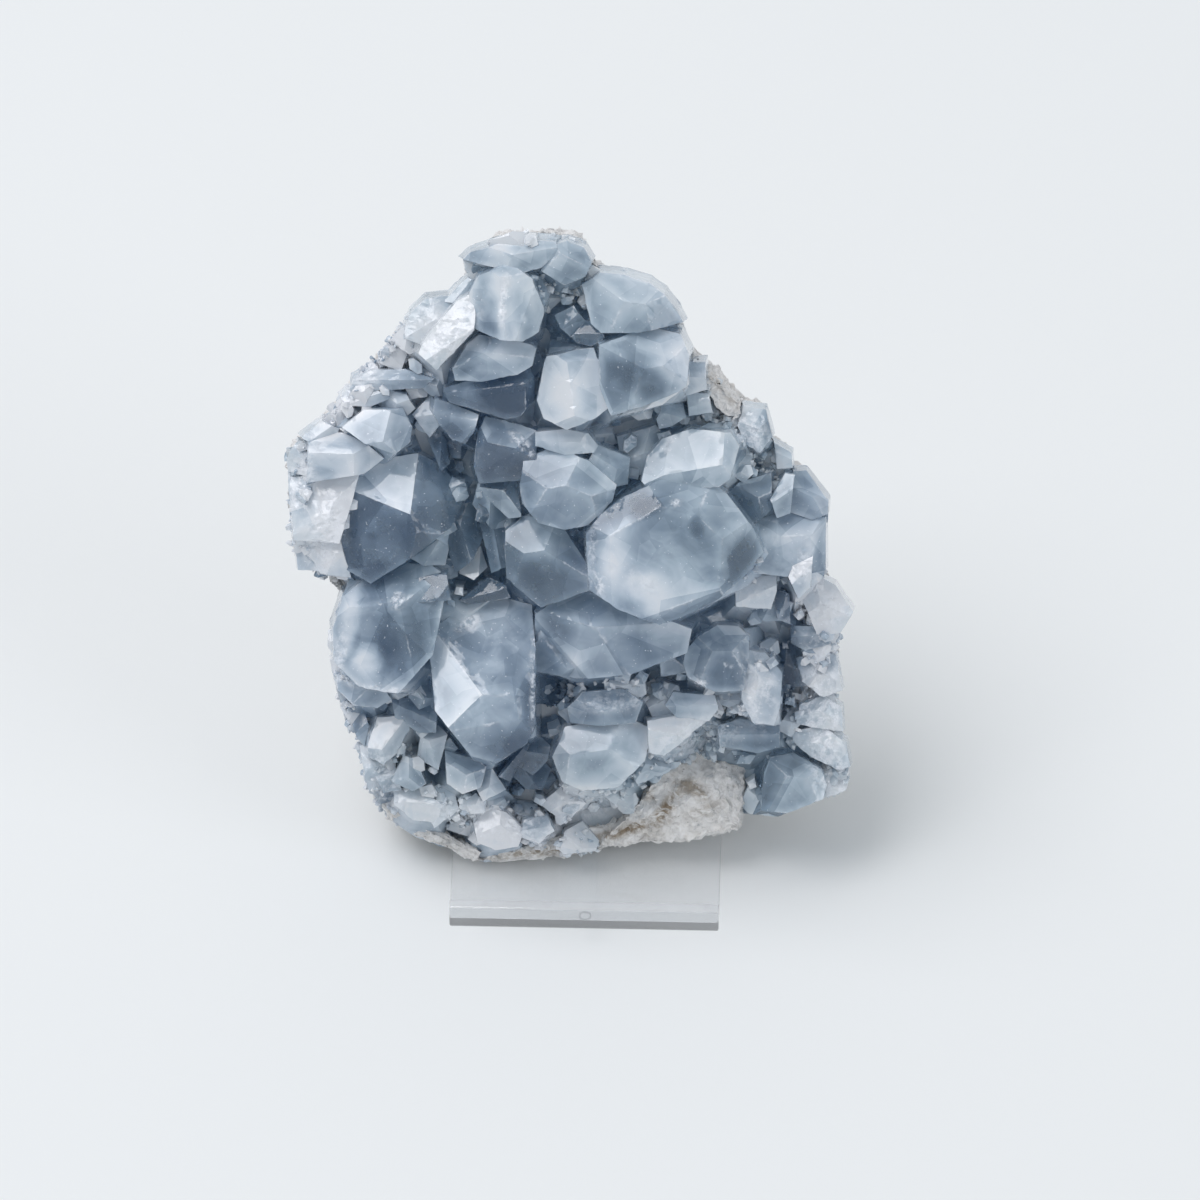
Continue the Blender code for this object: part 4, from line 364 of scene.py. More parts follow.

# Milky clouds inside the crystals, and places painted darker: clear windows, and painted shade over the
# hollows between crystals; the same six numbers
CLOUDY = (
    (8.6, 0.0, 8.5, 3.6, 80, 0.36), (13.6, -6.8, 6.0, 3.5, 150, 0.42), (22.0, -5.5, 4.5, 3.0, 130, 0.16),
    (-11.0, -17.0, 6.0, 6.0, 90, 0.20), (-11.0, -27.0, 5.0, 5.0, 90, 0.15),
    (-33.5, -18.7, 3.0, 2.5, 20, 0.45), (-36.5, -12.0, 6.5, 1.6, 80, 0.35),
    (-11.0, 45.0, 3.0, 2.5, 0, 0.35), (0.0, 28.0, 5.0, 4.0, 90, 0.20), (-1.0, 10.0, 5.0, 4.0, 0, 0.15),
    (-43.5, 9.0, 11.0, 4.0, 85, 0.20), (-40.0, 3.0, 10.0, 5.0, 80, 0.20),
    (44.0, -26.0, 13.0, 5.0, 92, 0.20), (44.0, -10.0, 5.0, 5.0, 0, 0.35),
    (-12.0, -46.0, 20.0, 5.0, 165, 0.40), (-29.0, -35.0, 9.0, 5.0, 100, 0.30),
    (-6.0, 50.0, 12.0, 4.0, 0, 0.15), (28.0, 24.0, 10.0, 5.0, 130, 0.45), (33.0, 13.6, 8.0, 5.0, 120, 0.25),
    (40.0, 1.7, 5.0, 6.0, 0, 0.20), (-26.0, 36.0, 13.0, 4.0, 42, 0.40), (-38.0, 24.0, 8.0, 4.0, 40, 0.45),
    (46.0, -38.0, 5.0, 5.0, 0, 0.20), (10.0, -26.0, 11.0, 3.5, 5, 0.20), (28.0, -28.0, 10.0, 6.0, 10, 0.20),
    (20.0, -33.0, 8.0, 4.0, 0, 0.30), (1.0, -42.0, 8.0, 4.0, 5, 0.35),
)  # fmt: skip
CLEAR_AND_SHADED = (
    (30.5, -1.0, 4.6, 2.4, 70, 0.4), (22.4, 3.9, 1.8, 1.3, 100, 0.35), (14.5, 7.2, 3.5, 1.6, 20, 0.40),
    (-1.5, -15.0, 5.0, 3.2, 80, 0.40), (-29.0, 0.0, 7.0, 6.0, 0, 0.15), (-10.5, 26.5, 5.0, 2.6, 160, 0.45),
    (-17.0, 31.5, 3.0, 2.0, 50, 0.30), (-12.8, 36.8, 3.2, 1.8, 90, 0.35), (-7.0, 39.5, 4.0, 1.5, 100, 0.30),
    (12.5, 29.0, 5.5, 3.0, 150, 0.40), (5.0, -34.0, 3.5, 3.5, 45, 0.20), (-28.5, -16.0, 6.0, 4.5, 95, 0.25),
    (-6.0, -4.0, 3.0, 2.0, 140, 0.35), (-19.0, 17.0, 6.0, 5.0, 90, 0.30), (-15.5, 1.0, 8.0, 5.0, 90, 0.30),
    (-7.0, -38.0, 7.0, 4.0, 90, 0.30), (38.0, -20.0, 8.0, 2.0, 88, 0.40),
)  # fmt: skip

# End faces painted paler (above 0) as a painted highlight, or darker as painted shade, counted in the
# crystal's own row of end faces
PAINTED_FACE_LIGHT = {
    ("great_dark", 0): 0.55, ("great_dark", 1): -0.12, ("great_dark", 2): -0.05, ("great_dark", 3): -0.15,
    ("great_dark", 4): 0.0, ("great_block", 0): 0.45, ("great_block", 2): 0.0, ("great_block", 4): -0.05,
    ("violet_steep", 0): 0.3, ("violet_steep", 1): -0.1, ("violet_foot", 1): 0.35, ("pale_face", 0): 0.15,
    ("triangle_face", 0): 0.3, ("stripe_prism", 0): 0.2, ("white_bar", 0): 0.2, ("lilac_face", 0): 0.2,
    ("blue_block", 3): -0.15, ("pale_pillar", 0): 0.2, ("pale_pillar", 2): -0.25, ("twin_facets", 1): 0.2,
    ("twin_facets", 0): 0.1, ("great_blue", 3): -0.2, ("great_blue", 4): 0.05, ("great_blue", 5): 0.1,
    ("round_dome", 1): 0.1, ("round_dome", 3): -0.12, ("arrow_slab", 0): 0.15, ("right_dark", 0): 0.1,
}  # fmt: skip
SHATTERED = ("broken_left", "broken_low", "frosted")
SMALL_STRETCH = 1.22  # how much wider than in the solids the small crystals are, so that they touch

# Where the finest crystals crowd: right, up, half length, half width, turn of the length, share
FINE = (
    (-38.0, 27.0, 16.0, 4.0, 42, 1.0), (-43.0, 6.0, 14.0, 4.0, 85, 0.8), (28.0, 24.5, 10.0, 5.0, 130, 1.0),
    (36.0, 14.0, 7.0, 4.0, 125, 0.8), (43.0, -22.0, 15.0, 4.5, 88, 1.0), (46.0, -38.0, 5.0, 4.0, 110, 1.0),
    (10.0, -38.0, 12.0, 4.0, 20, 0.7), (22.0, -33.0, 9.0, 4.0, 20, 0.9), (27.0, -26.5, 8.0, 3.0, 10, 0.8),
    (33.0, -23.0, 6.0, 3.5, 95, 0.8), (-10.0, -47.0, 20.0, 3.5, 165, 0.9),
    (-30.0, -38.0, 8.0, 5.0, 115, 0.8), (-36.0, -24.0, 8.0, 2.5, 100, 0.8), (0.0, 45.0, 6.0, 4.0, 0, 0.6),
    (-3.0, 51.5, 12.0, 3.0, 0, 0.5), (5.0, -24.5, 12.0, 2.5, 5, 0.7), (36.0, -2.0, 8.0, 9.0, 90, 0.3),
)  # fmt: skip

# Brown stained streaks on the bare matrix, as seen
STAINS = (
    (17.0, -44.5, 6.0, 1.5, 58, 1.0), (21.5, -40.5, 4.5, 1.6, 150, 0.8), (11.0, -47.9, 8.0, 1.1, 14, 1.0),
    (-3.0, -51.4, 10.0, 1.0, 8, 0.9), (24.0, -44.5, 4.0, 1.6, 20, 0.5), (13.5, -41.0, 3.0, 1.4, 110, 0.7),
    (26.0, 28.0, 6.0, 1.0, 130, 0.5),
)  # fmt: skip

# How the small crystals are spread, in millimetres
PICTURE_SPAN = ((-47, 49), (-53, 53))  # across and up
EDGE_STEP = 5.2  # between those along the specimen's edge
EDGE_INSET = 2.3
EDGE_SIZES = (2.6, 3.6)  # half a crystal's width
SMALL_SIZES = (2.6, 4.6)
SMALL_TRIES = 2600
MEDIUM_SIZES = (0.9, 2.3)
MEDIUM_TRIES = 9000

# Sizes of the finish, in millimetres unless said otherwise
CHIP_REACH = 0.35  # how far from a crystal's edge it is chipped
CHIP_DEPTHS = (0.03, 0.22)
CRYSTAL_CREASE = 13  # degrees between faces that stay sharp
ROCK_CREASE = 38
CRUST_INSET = 0.965  # the crust's outline as a share of the specimen's, as in the solids
CRUST_SHRINK = 0.97  # and how much smaller it is drawn here
LIP_BEND = 1.6
LEDGE_BEND = 2.0
EASEL_ROUNDING = 0.35
RING_THICKNESS = 0.16

# How fine the meshes are, and the ring on the easel's lip
FACET_MESH = 1.0  # longest edge of the crystals' mesh, in millimetres
ROCK_MESH = 0.95
BOWL_DETAIL = 6
FINE_COUNT = 700
OWN_SHIFT = 8.0  # how far apart the crystals' inner patterns are taken, in metres
RING_RADIUS = 0.95
RING_OFFSET = 0.2  # of the ring from the middle of the lip
RING_HEIGHT = 4.6

# The studio: where each lamp stands as seen from the object, its power, size and colour
KEY_FROM = (-0.43, 0.03, 0.88)
KEY_POWER = 33.0
KEY_SIZE = (1.9, 1.6)  # in metres
KEY_COLOUR = (1.0, 0.98, 0.99)
FILL_FROM = (0.9, -0.5, 0.5)
FILL_POWER = 8.0
FILL_SIZE = (1.2, 1.2)
FILL_COLOUR = (0.97, 0.98, 1.0)
LAMPS_AWAY = 2.4
ROOM_LIGHT = 0.56
ROOM_COLOUR = (0.90, 0.95, 1.0, 1.0)
FLOOR_COLOUR = (0.83, 0.845, 0.846, 1.0)

# The clear materials and the camera
CRYSTAL_IOR = 1.62
CRYSTAL_TINT = (0.52, 0.68, 0.82, 1.0)
CRYSTAL_DENSITY = 18.0
ACRYLIC_IOR = 1.49
# the sheet's grey is partly its own tint, partly painted shade
ACRYLIC_TINT_AND_SHADE = (0.84, 0.85, 0.86, 1.0)
ACRYLIC_CLEARNESS = 0.84
SENSOR = 36.0  # the camera's, in millimetres


def picture_axes():
    """The picture's right, up and towards-the-viewer directions in the object's frame."""
    tilt = math.radians(VIEW_ELEVATION)
    right = Vector((1, 0, 0))
    up = Vector((0, math.sin(tilt), math.cos(tilt)))
    return right, up, right.cross(up)


def layout_base():
    """Where the layout's zero lies: the easel's front edge in the layout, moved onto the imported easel."""
    low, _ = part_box("easel")
    turn = math.radians(EASEL_TURN)
    x = low[0] - (EASEL_CENTRE - EASEL_WIDTH / 2 * math.cos(turn)) * MM
    y = low[1] - (EASEL_BEHIND + EASEL_WIDTH / 2 * math.sin(turn)) * MM
    return Vector((x, y, 0.0))


RIGHT, UP, NEAR = picture_axes()
BASE = layout_base()
LEAN = math.radians(ROCK_LEAN)
SLAB_UP = Vector((0, math.sin(LEAN), math.cos(LEAN)))
SLAB_OUT = Vector((0, -math.cos(LEAN), math.sin(LEAN)))
RIM_SLOPE = SLAB_UP.dot(NEAR) / SLAB_UP.dot(UP)
FLOOR = (Vector((0, 0, LEDGE_TOP * MM)), Vector((0, 0, -1)))


def spot(u, v, w):
    """A point given right, up and towards the viewer in the picture, in millimetres."""
    return BASE + (RIGHT * u + UP * (v + PICTURE_RISE) + NEAR * w) * MM


def rim(v):
    """How near the viewer the rim plane is at a height in the picture."""
    return RIM_DEPTH + RIM_SLOPE * v


def slab(a, b, out):
    """A point given across, along and out of the specimen's rim plane, in millimetres."""
    return spot(0, 0, RIM_DEPTH) + (RIGHT * a + SLAB_UP * b + SLAB_OUT * out) * MM


def direction(turn, fall):
    """The outward normal of a face that falls away from the viewer towards a direction."""
    turn, fall = math.radians(turn), math.radians(fall)
    across = RIGHT * math.cos(turn) + UP * math.sin(turn)
    return across * math.sin(fall) + NEAR * math.cos(fall)


def centre_of(outline):
    """The middle of an outline's corners."""
    return sum(p[0] for p in outline) / len(outline), sum(p[1] for p in outline) / len(outline)


def turned_right_way(outline):
    """The outline with its corners running anticlockwise."""
    area = sum(a[0] * b[1] - b[0] * a[1] for a, b in zip(outline, outline[1:] + outline[:1]))
    return outline if area > 0 else outline[::-1]


def side_faces(outline, height):
    """The side faces that stand on each edge of an outline, widening a little to the root."""
    found = []
    outline = turned_right_way(tuple(outline))
    for (u0, v0), (u1, v1) in zip(outline, outline[1:] + outline[:1]):
        turn = math.degrees(math.atan2(u0 - u1, v1 - v0))
        fall = 87.0 - 6.0 * math.sin(math.radians(turn))
        found.append((spot((u0 + u1) / 2, (v0 + v1) / 2, height), direction(turn, fall)))
    return found


def cut_off(bm, point, normal):
    """Cuts away what lies past a plane and closes the cut."""
    everything = bm.verts[:] + bm.edges[:] + bm.faces[:]
    bmesh.ops.bisect_plane(
        bm, geom=everything, dist=1e-7, plane_co=point, plane_no=normal, clear_outer=True
    )
    bmesh.ops.holes_fill(bm, edges=bm.edges[:], sides=0)


def crystal_planes(rise, outline, ends, more=(), root=CRYSTAL_FOOT):
    """A crystal's faces, each a point and an outward normal, and a point inside it."""
    u, v = centre_of(outline)
    height = rim(v) + rise
    planes = side_faces(outline, height)
    planes += [(spot(pu, pv, height), direction(turn, fall)) for turn, fall, pu, pv in ends]
    planes += [(slab(0, 0, root), -SLAB_OUT), FLOOR]
    return planes + list(more), spot(u, v, height - 10.0)


def cut_block(planes, middle, reach=45.0 * MM):
    """A block cut down by planes."""
    bm = bmesh.new()
    bmesh.ops.create_cube(bm, size=2 * reach)
    bmesh.ops.translate(bm, verts=bm.verts, vec=middle)
    for point, normal in planes:
        cut_off(bm, point, normal)
    bmesh.ops.remove_doubles(bm, verts=bm.verts, dist=1e-6)
    bmesh.ops.recalc_face_normals(bm, faces=bm.faces)
    return bm


def within(u, v, outline):
    """Whether a point of the picture lies in an outline."""
    inside = False
    for (u0, v0), (u1, v1) in zip(outline, outline[1:] + outline[:1]):
        if (v0 > v) != (v1 > v) and u < u0 + (v - v0) * (u1 - u0) / (v1 - v0):
            inside = not inside
    return inside


def near_edges(u, v, reach):
    """The outline's edges within reach of a point, each as a side face that the point is inside."""
    found = []
    edge = turned_right_way(OUTLINE)
    for (u0, v0), (u1, v1) in zip(edge, edge[1:] + edge[:1]):
        length = math.hypot(u1 - u0, v1 - v0)
        along = ((u - u0) * (u1 - u0) + (v - v0) * (v1 - v0)) / length
        away = ((u - u0) * (v1 - v0) - (v - v0) * (u1 - u0)) / length
        if -reach < away < -0.2 and -0.5 * reach < along < length + 0.5 * reach:
            turn = math.degrees(math.atan2(u0 - u1, v1 - v0))
            found.append((spot(u0, v0, rim(v) + 2.0), direction(turn, 90.0)))
    return found


def small_planes(dice, u, v, size, rise):
    """The faces of a small crystal: a four to six sided prism with three end faces."""
    count = dice.choice((4, 5, 6))
    start = dice.uniform(0, 360)
    stretch = dice.uniform(0.62, 1.0)
    lie = math.radians(dice.uniform(0, 180))
    outline = []
    for i in range(count):
        angle = math.radians(start + 360.0 * (i + dice.uniform(-0.2, 0.2)) / count)
        a, b = size * math.cos(angle), size * stretch * math.sin(angle)
        across, rise_up = a * math.cos(lie) - b * math.sin(lie), a * math.sin(lie) + b * math.cos(lie)
        outline.append((u + across, v + rise_up))
    first = dice.uniform(0, 360)
    ends = []
    for i in range(3):
        turn = first + 120 * i + dice.uniform(-30, 30)
        step = size * dice.uniform(0.0, 0.35)
        pu, pv = u + step * math.cos(math.radians(turn)), v + step * math.sin(math.radians(turn))
        ends.append((turn, dice.uniform(14, 48), pu, pv))
    return crystal_planes(rise, outline, ends, near_edges(u, v, size * 1.7 + 1.0))


def inset_places(step, depth):
    """Places along the specimen's edge, a little way in from it."""
    edge = turned_right_way(OUTLINE)
    places = []
    for (u0, v0), (u1, v1) in zip(edge, edge[1:] + edge[:1]):
        length = math.hypot(u1 - u0, v1 - v0)
        count = max(1, round(length / step))
        for i in range(count):
            t = (i + 0.5) / count
            u = u0 + t * (u1 - u0) - depth * (v1 - v0) / length
            v = v0 + t * (v1 - v0) + depth * (u1 - u0) / length
            places.append((u, v))
    return places


def in_hollow(u, v):
    """Whether a place lies in one of the open places."""
    return any(((u - a) / c) ** 2 + ((v - b) / d) ** 2 < 1 for a, b, c, d in HOLLOWS)


def on_bare_matrix(u, v):
    """Whether a place lies on matrix that carries no crystals."""
    return any(within(u, v, outline) for _, outline, _ in BARE_MATRIX.values())


def covered(u, v, margin=1.3):
    """Whether one of the named crystals already stands well over a place."""
    for rise, outline, _ in CRYSTALS.values():
        a, b = centre_of(outline)
        if rise > 0 and within(a + (u - a) * margin, b + (v - b) * margin, outline):
            return True
    return False


def skirt_planes(dice, rise, outline, ends):
    """The faces of the wider foot that a named crystal stands on, so that valleys and not slits part it
    from its neighbours; it stays steep beside an open dark place."""
    u, v = centre_of(outline)
    outline = turned_right_way(tuple(outline))
    planes = []
    for (u0, v0), (u1, v1) in zip(outline, outline[1:] + outline[:1]):
        a, b = (u0 + u1) / 2, (v0 + v1) / 2
        turn = math.atan2(u0 - u1, v1 - v0)
        open_place = in_hollow(a + 2.0 * math.cos(turn), b + 2.0 * math.sin(turn))
        fall = 84.0 if open_place else dice.uniform(60, 72)
        height = rim(b) + rise - dice.uniform(0.35, 0.6) * (rise + 3.0)
        planes.append((spot(a, b, height), direction(math.degrees(turn), fall)))
    low = rim(v) + rise - 0.8
    planes += [(spot(a, b, low), direction(turn, min(fall, 50))) for turn, fall, a, b in ends]
    size = max(math.hypot(a - u, b - v) for a, b in outline)
    planes += [(slab(0, 0, CRYSTAL_FOOT), -SLAB_OUT), FLOOR, *near_edges(u, v, size + 9.0)]
    return planes, spot(u, v, rim(v) + rise - 10.0)


def small_places(dice):
    """Where the small crystals grow: along the edge, then wherever there is room inside it."""
    places = []
    for u, v in inset_places(EDGE_STEP, EDGE_INSET):
        if not on_bare_matrix(u, v) and not covered(u, v):
            places.append((u, v, dice.uniform(*EDGE_SIZES), dice.uniform(-2.5, 0.8)))
    for _ in range(SMALL_TRIES):
        u, v = (dice.uniform(*span) for span in PICTURE_SPAN)
        size = dice.uniform(*SMALL_SIZES)
        crowded = any(math.hypot(u - p[0], v - p[1]) < 0.9 * (size + p[2]) for p in places)
        if not within(u, v, OUTLINE) or crowded or covered(u, v) or on_bare_matrix(u, v):
            continue
        rise = dice.uniform(-3.0, -1.5) if in_hollow(u, v) else dice.uniform(-1.0, 3.5)
        places.append((u, v, size, rise))
    return places


def shattered(u, v):
    """The height of the broken, splintered crystal that a place lies on, if any."""
    return next((CRYSTALS[name][0] for name in SHATTERED if within(u, v, CRYSTALS[name][1])), None)


def medium_places(dice, taken):
    """Where crystals about two to four millimetres wide grow: in crowded places, gaps and breaks."""
    places = []
    for _ in range(MEDIUM_TRIES):
        u, v = (dice.uniform(*span) for span in PICTURE_SPAN)
        size = dice.uniform(*MEDIUM_SIZES)
        crowding = float(in_places(np.array([u]), np.array([v]), FINE)[0])
        broken = shattered(u, v)
        if dice.random() > 0.2 + 0.8 * crowding or not within(u, v, OUTLINE):
            continue
        if broken is None and covered(u, v, 1.12):
            continue
        if any(math.hypot(u - p[0], v - p[1]) < 0.85 * (size + p[2]) for p in places):
            continue
        around = [(u, v - size), (u, v - 2 * size), (u - size, v), (u + size, v), (u, v)]
        if any(on_bare_matrix(*spot_near) or not within(*spot_near, OUTLINE) for spot_near in around):
            continue
        near = [p for p in taken if math.hypot(u - p[0], v - p[1]) < p[2] + 1.5]
        base = max((p[3] for p in near), default=0.5) if broken is None else broken - 1.2
        places.append((u, v, size, base + dice.uniform(-1.6, 1.0)))
    return places


def object_of(name, bm, collection):
    """An object in a collection from a bmesh, which is freed."""
    mesh = bpy.data.meshes.new(name)
    bm.to_mesh(mesh)
    bm.free()
    made = bpy.data.objects.new(name, mesh)
    collection.objects.link(made)
    return made


def one_skin(obj, fillers):
    """The object joined with every filler piece, as a fresh bmesh without pockets; the pieces go."""
    join = obj.modifiers.new("joined", "BOOLEAN")
    join.operation = "UNION"
    join.operand_type = "COLLECTION"
    join.collection = fillers
    join.solver = "MANIFOLD"
    bpy.context.view_layer.update()
    graph = bpy.context.evaluated_depsgraph_get()
    mesh = bpy.data.meshes.new_from_object(obj.evaluated_get(graph))
    for piece in [obj, *fillers.objects]:
        bpy.data.objects.remove(piece)
    bpy.data.collections.remove(fillers)
    bm = bmesh.new()
    bm.from_mesh(mesh)
    bpy.data.meshes.remove(mesh)
    left, skins = set(bm.verts), []
    while left:
        first = left.pop()
        skin, growing = {first}, [first]
        while growing:
            for edge in growing.pop().link_edges:
                for vert in edge.verts:
                    if vert not in skin:
                        skin.add(vert)
                        growing.append(vert)
        left -= skin
        skins.append(skin)
    skins.sort(key=len)
    for skin in skins[:-1]:
        bmesh.ops.delete(bm, geom=list(skin), context="VERTS")
    bmesh.ops.triangulate(bm, faces=bm.faces)
    return bm


def refine(bm, length, behind):
    """Splits edges until none is longer than a length, which is wider by a factor for faces turned back."""
    for _ in range(9):
        long = [
            e for e in bm.edges
            if e.calc_length() > length * (1.0 if e.link_faces[0].normal.dot(SLAB_OUT) > -0.4 else behind)
        ]  # fmt: skip
        if not long:
            break
        bmesh.ops.subdivide_edges(bm, edges=long, cuts=1)
        bmesh.ops.triangulate(bm, faces=[f for f in bm.faces if len(f.verts) > 3], ngon_method="BEAUTY")
        bm.normal_update()


def points_of(mesh):
    """A mesh's points as an array."""
    found = np.empty(len(mesh.vertices) * 3)
    mesh.vertices.foreach_get("co", found)
    return found.reshape(-1, 3)


def seen_at(points):
    """Where points are in the picture: right, up and towards the viewer, in millimetres."""
    found = (points - np.array(BASE)) / MM @ np.array((RIGHT, UP, NEAR)).T
    found[:, 1] -= PICTURE_RISE
    return found


def in_places(u, v, places):
    """How strongly each point lies in any of the listed oval places, from 0 to 1."""
    found = np.zeros(len(u))
    for a, b, long, wide, turn, strength in places:
        c, s = math.cos(math.radians(turn)), math.sin(math.radians(turn))
        along, across = ((u - a) * c + (v - b) * s) / long, ((v - b) * c - (u - a) * s) / wide
        found = np.maximum(found, strength * np.clip(1.6 - 1.3 * np.hypot(along, across), 0, 1))
    return found


def set_values(mesh, name, values, domain="POINT"):
    """Stores one number for each point or face corner under a name."""
    mesh.attributes.new(name, "FLOAT", domain).data.foreach_set("value", np.asarray(values, np.float32))


def grow_crystals():
    """Every crystal as a block cut by its faces, numbered, with its faces kept for later."""
    dice = random.Random(SEED)
    places = small_places(dice)
    grown = [(*crystal_planes(*shape), PALE[name]) for name, shape in CRYSTALS.items()]
    for u, v, size, rise in places:
        # a crystal down in a hollow is painted darker: painted shade
        pale = 0.15 if in_hollow(u, v) else tone_of(u, v)
        for _ in range(4):
            below = [(u, v - share * size) for share in (0.4, 0.8, 1.2)]
            if any(on_bare_matrix(*p) for p in below) or not within(*below[0], OUTLINE):
                v, rise = v + 0.4 * size, rise - 0.6
        grown.append((*small_planes(dice, u, v, size * SMALL_STRETCH, rise), pale))
    for name, (rise, outline, ends) in CRYSTALS.items():
        if rise > 2:
            grown.append((*skirt_planes(dice, rise, outline, ends), PALE[name] * 0.8))
    for place in medium_places(dice, places):
        # a crystal down in a hollow is painted darker: painted shade
        pale = 0.3 if in_hollow(*place[:2]) else tone_of(*place[:2]) + dice.uniform(-0.15, 0.3)
        grown.append((*small_planes(dice, *place), pale))
    return grown


def tone_of(u, v):
    """A repeatable paleness for a small crystal, higher towards the specimen's edge."""
    near_edge = 0.85 if near_edges(u, v, 6.0) else 0.52
    return near_edge + noise.noise(Vector((u * 0.31, v * 0.31, 3.0))) * 0.35


def crust_points():
    """The crust's outline in the rim plane, a little inside the specimen's edge."""
    line = []
    for u, v in turned_right_way(OUTLINE):
        line.append((u * CRUST_INSET, (v * CRUST_INSET + SLAB_OUT.dot(UP) * -CRUST_TOP) / SLAB_UP.dot(UP)))
    return line


def crust():
    """The thin crust that every crystal grows from: the outline with a top, a bottom and sides."""
    bm = bmesh.new()
    line = [(a * CRUST_SHRINK, b * CRUST_SHRINK) for a, b in crust_points()]
    top = [bm.verts.new(slab(a, b, CRUST_TOP)) for a, b in line]
    low = [bm.verts.new(slab(a, b, CRUST_BOTTOM + 0.6)) for a, b in line]
    bm.faces.new(top)
    bm.faces.new(low[::-1])
    for i in range(len(line)):
        j = (i + 1) % len(line)
        bm.faces.new((top[i], low[i], low[j], top[j]))
    bm.normal_update()
    bmesh.ops.triangulate(bm, faces=bm.faces)
    cut_off(bm, *FLOOR)
    bmesh.ops.recalc_face_normals(bm, faces=bm.faces)
    return bm


def numbered(bm, number):
    """The bmesh with a number stored on each of its faces."""
    layer = bm.faces.layers.float.new("crystal")
    for face in bm.faces:
        face[layer] = number
    return bm


def edge_distances(points, number, grown):
    """How far each face corner is from the nearest edge of its own crystal, in millimetres, and how much
    paler or darker than its crystal the face it lies on is painted: painted highlight where paler, painted
    shade where darker."""
    dice = random.Random(SEED)
    names = list(CRYSTALS)
    found, shift = np.full(len(points), 9.0), np.zeros(len(points))
    for i, (planes, _, _) in enumerate(grown):
        # each face is painted a little paler or darker at random, and the listed end faces by their own
        # amount: painted highlight and shade
        tones = np.array([dice.uniform(-0.09, 0.09) for _ in planes])
        if i < len(names):
            sides = len(CRYSTALS[names[i]][1])
            for k in range(len(planes) - sides):
                tones[sides + k] = PAINTED_FACE_LIGHT.get((names[i], k), tones[sides + k])
        mine = number == i
        if not mine.any():
            continue
        spots = np.array([p for p, _ in planes])
        ways = np.array([n for _, n in planes])
        inside = np.abs(((spots[None] - points[mine][:, None]) * ways[None]).sum(2)) / MM
        found[mine] = np.sort(inside, axis=1)[:, 1]
        on_face = inside.reshape(-1, 3, len(planes)).sum(1).argmin(1)
        shift[mine] = np.repeat(tones[on_face], 3)
    return found, shift


def corner_normals(mesh):
    """Each vertex's normal as an array."""
    found = np.empty(len(mesh.vertices) * 3)
    mesh.vertex_normals.foreach_get("vector", found)
    return found.reshape(-1, 3)


def rough_noise(points, size, seed, octaves=3):
    """Smooth noise at points, about -1 to 1, with features of a size in millimetres."""
    shift = Vector((seed * 7.3, seed * 3.1, seed * 5.7))
    scale = 1.0 / (size * MM)
    return np.array([noise.fractal(Vector(p) * scale + shift, 0.6, 2.0, octaves) for p in points])


def build_crystals(grown):
    """All the crystals in one skin, finely divided, with chipped edges and its looks' values."""
    fillers = bpy.data.collections.new("fillers")
    bpy.context.scene.collection.children.link(fillers)
    body = object_of("crust", numbered(crust(), -1), bpy.context.scene.collection)
    for number, (planes, middle, _) in enumerate(grown):
        object_of(f"grown_{number}", numbered(cut_block(planes, middle), number), fillers)
    bm = one_skin(body, fillers)
    refine(bm, FACET_MESH * MM, 4.0)
    made = object_of("celestite_cluster", bm, bpy.context.scene.collection)
    mesh = made.data
    points = points_of(mesh)
    corner = np.empty(len(mesh.loops), np.int32)
    mesh.loops.foreach_get("vertex_index", corner)
    number = np.empty(len(mesh.polygons))
    mesh.attributes["crystal"].data.foreach_get("value", number)
    number = np.rint(np.repeat(number, 3)).astype(int)
    apart, face_paint_shift = edge_distances(points[corner], number, grown)
    nearest = np.full(len(points), 9.0)
    np.minimum.at(nearest, corner, apart)
    seen = seen_at(points)
    frost = in_places(seen[:, 0], seen[:, 1], FROST)
    normals = corner_normals(mesh)
    chips = np.clip(rough_noise(points, 1.3, 2), -0.2, 1.0)
    jag = 0.16 * rough_noise(points, 0.9, 5) + 0.5 * np.abs(rough_noise(points, 2.6, 8)) - 0.12
    depth = np.exp(-nearest / CHIP_REACH) * (CHIP_DEPTHS[0] + CHIP_DEPTHS[1] * np.clip(chips, 0, 1))
    depth = depth + frost * jag
    mesh.vertices.foreach_set("co", (points - normals * (depth * MM)[:, None]).ravel())
    tones = np.array([pale for _, _, pale in grown] + [0.8])
    # paleness: the crystal's own, paler in milky clouds, darker in clear windows and by painted shade over
    # the hollows, plus each face's painted highlight or shade
    shift = in_places(seen[:, 0], seen[:, 1], CLOUDY) - in_places(seen[:, 0], seen[:, 1], CLEAR_AND_SHADED)
    pale = tones[number] + shift[corner] + face_paint_shift
    set_values(mesh, "rim", np.minimum(apart, 6.0), "CORNER")
    set_values(mesh, "pale", pale, "CORNER")
    set_values(mesh, "own", np.modf(number * 0.618034)[0], "CORNER")
    set_values(mesh, "frost", frost)
    mesh.attributes.remove(mesh.attributes["crystal"])
    mesh.shade_smooth()
    mesh.set_sharp_from_angle(angle=math.radians(CRYSTAL_CREASE))
    return made, number[::3]


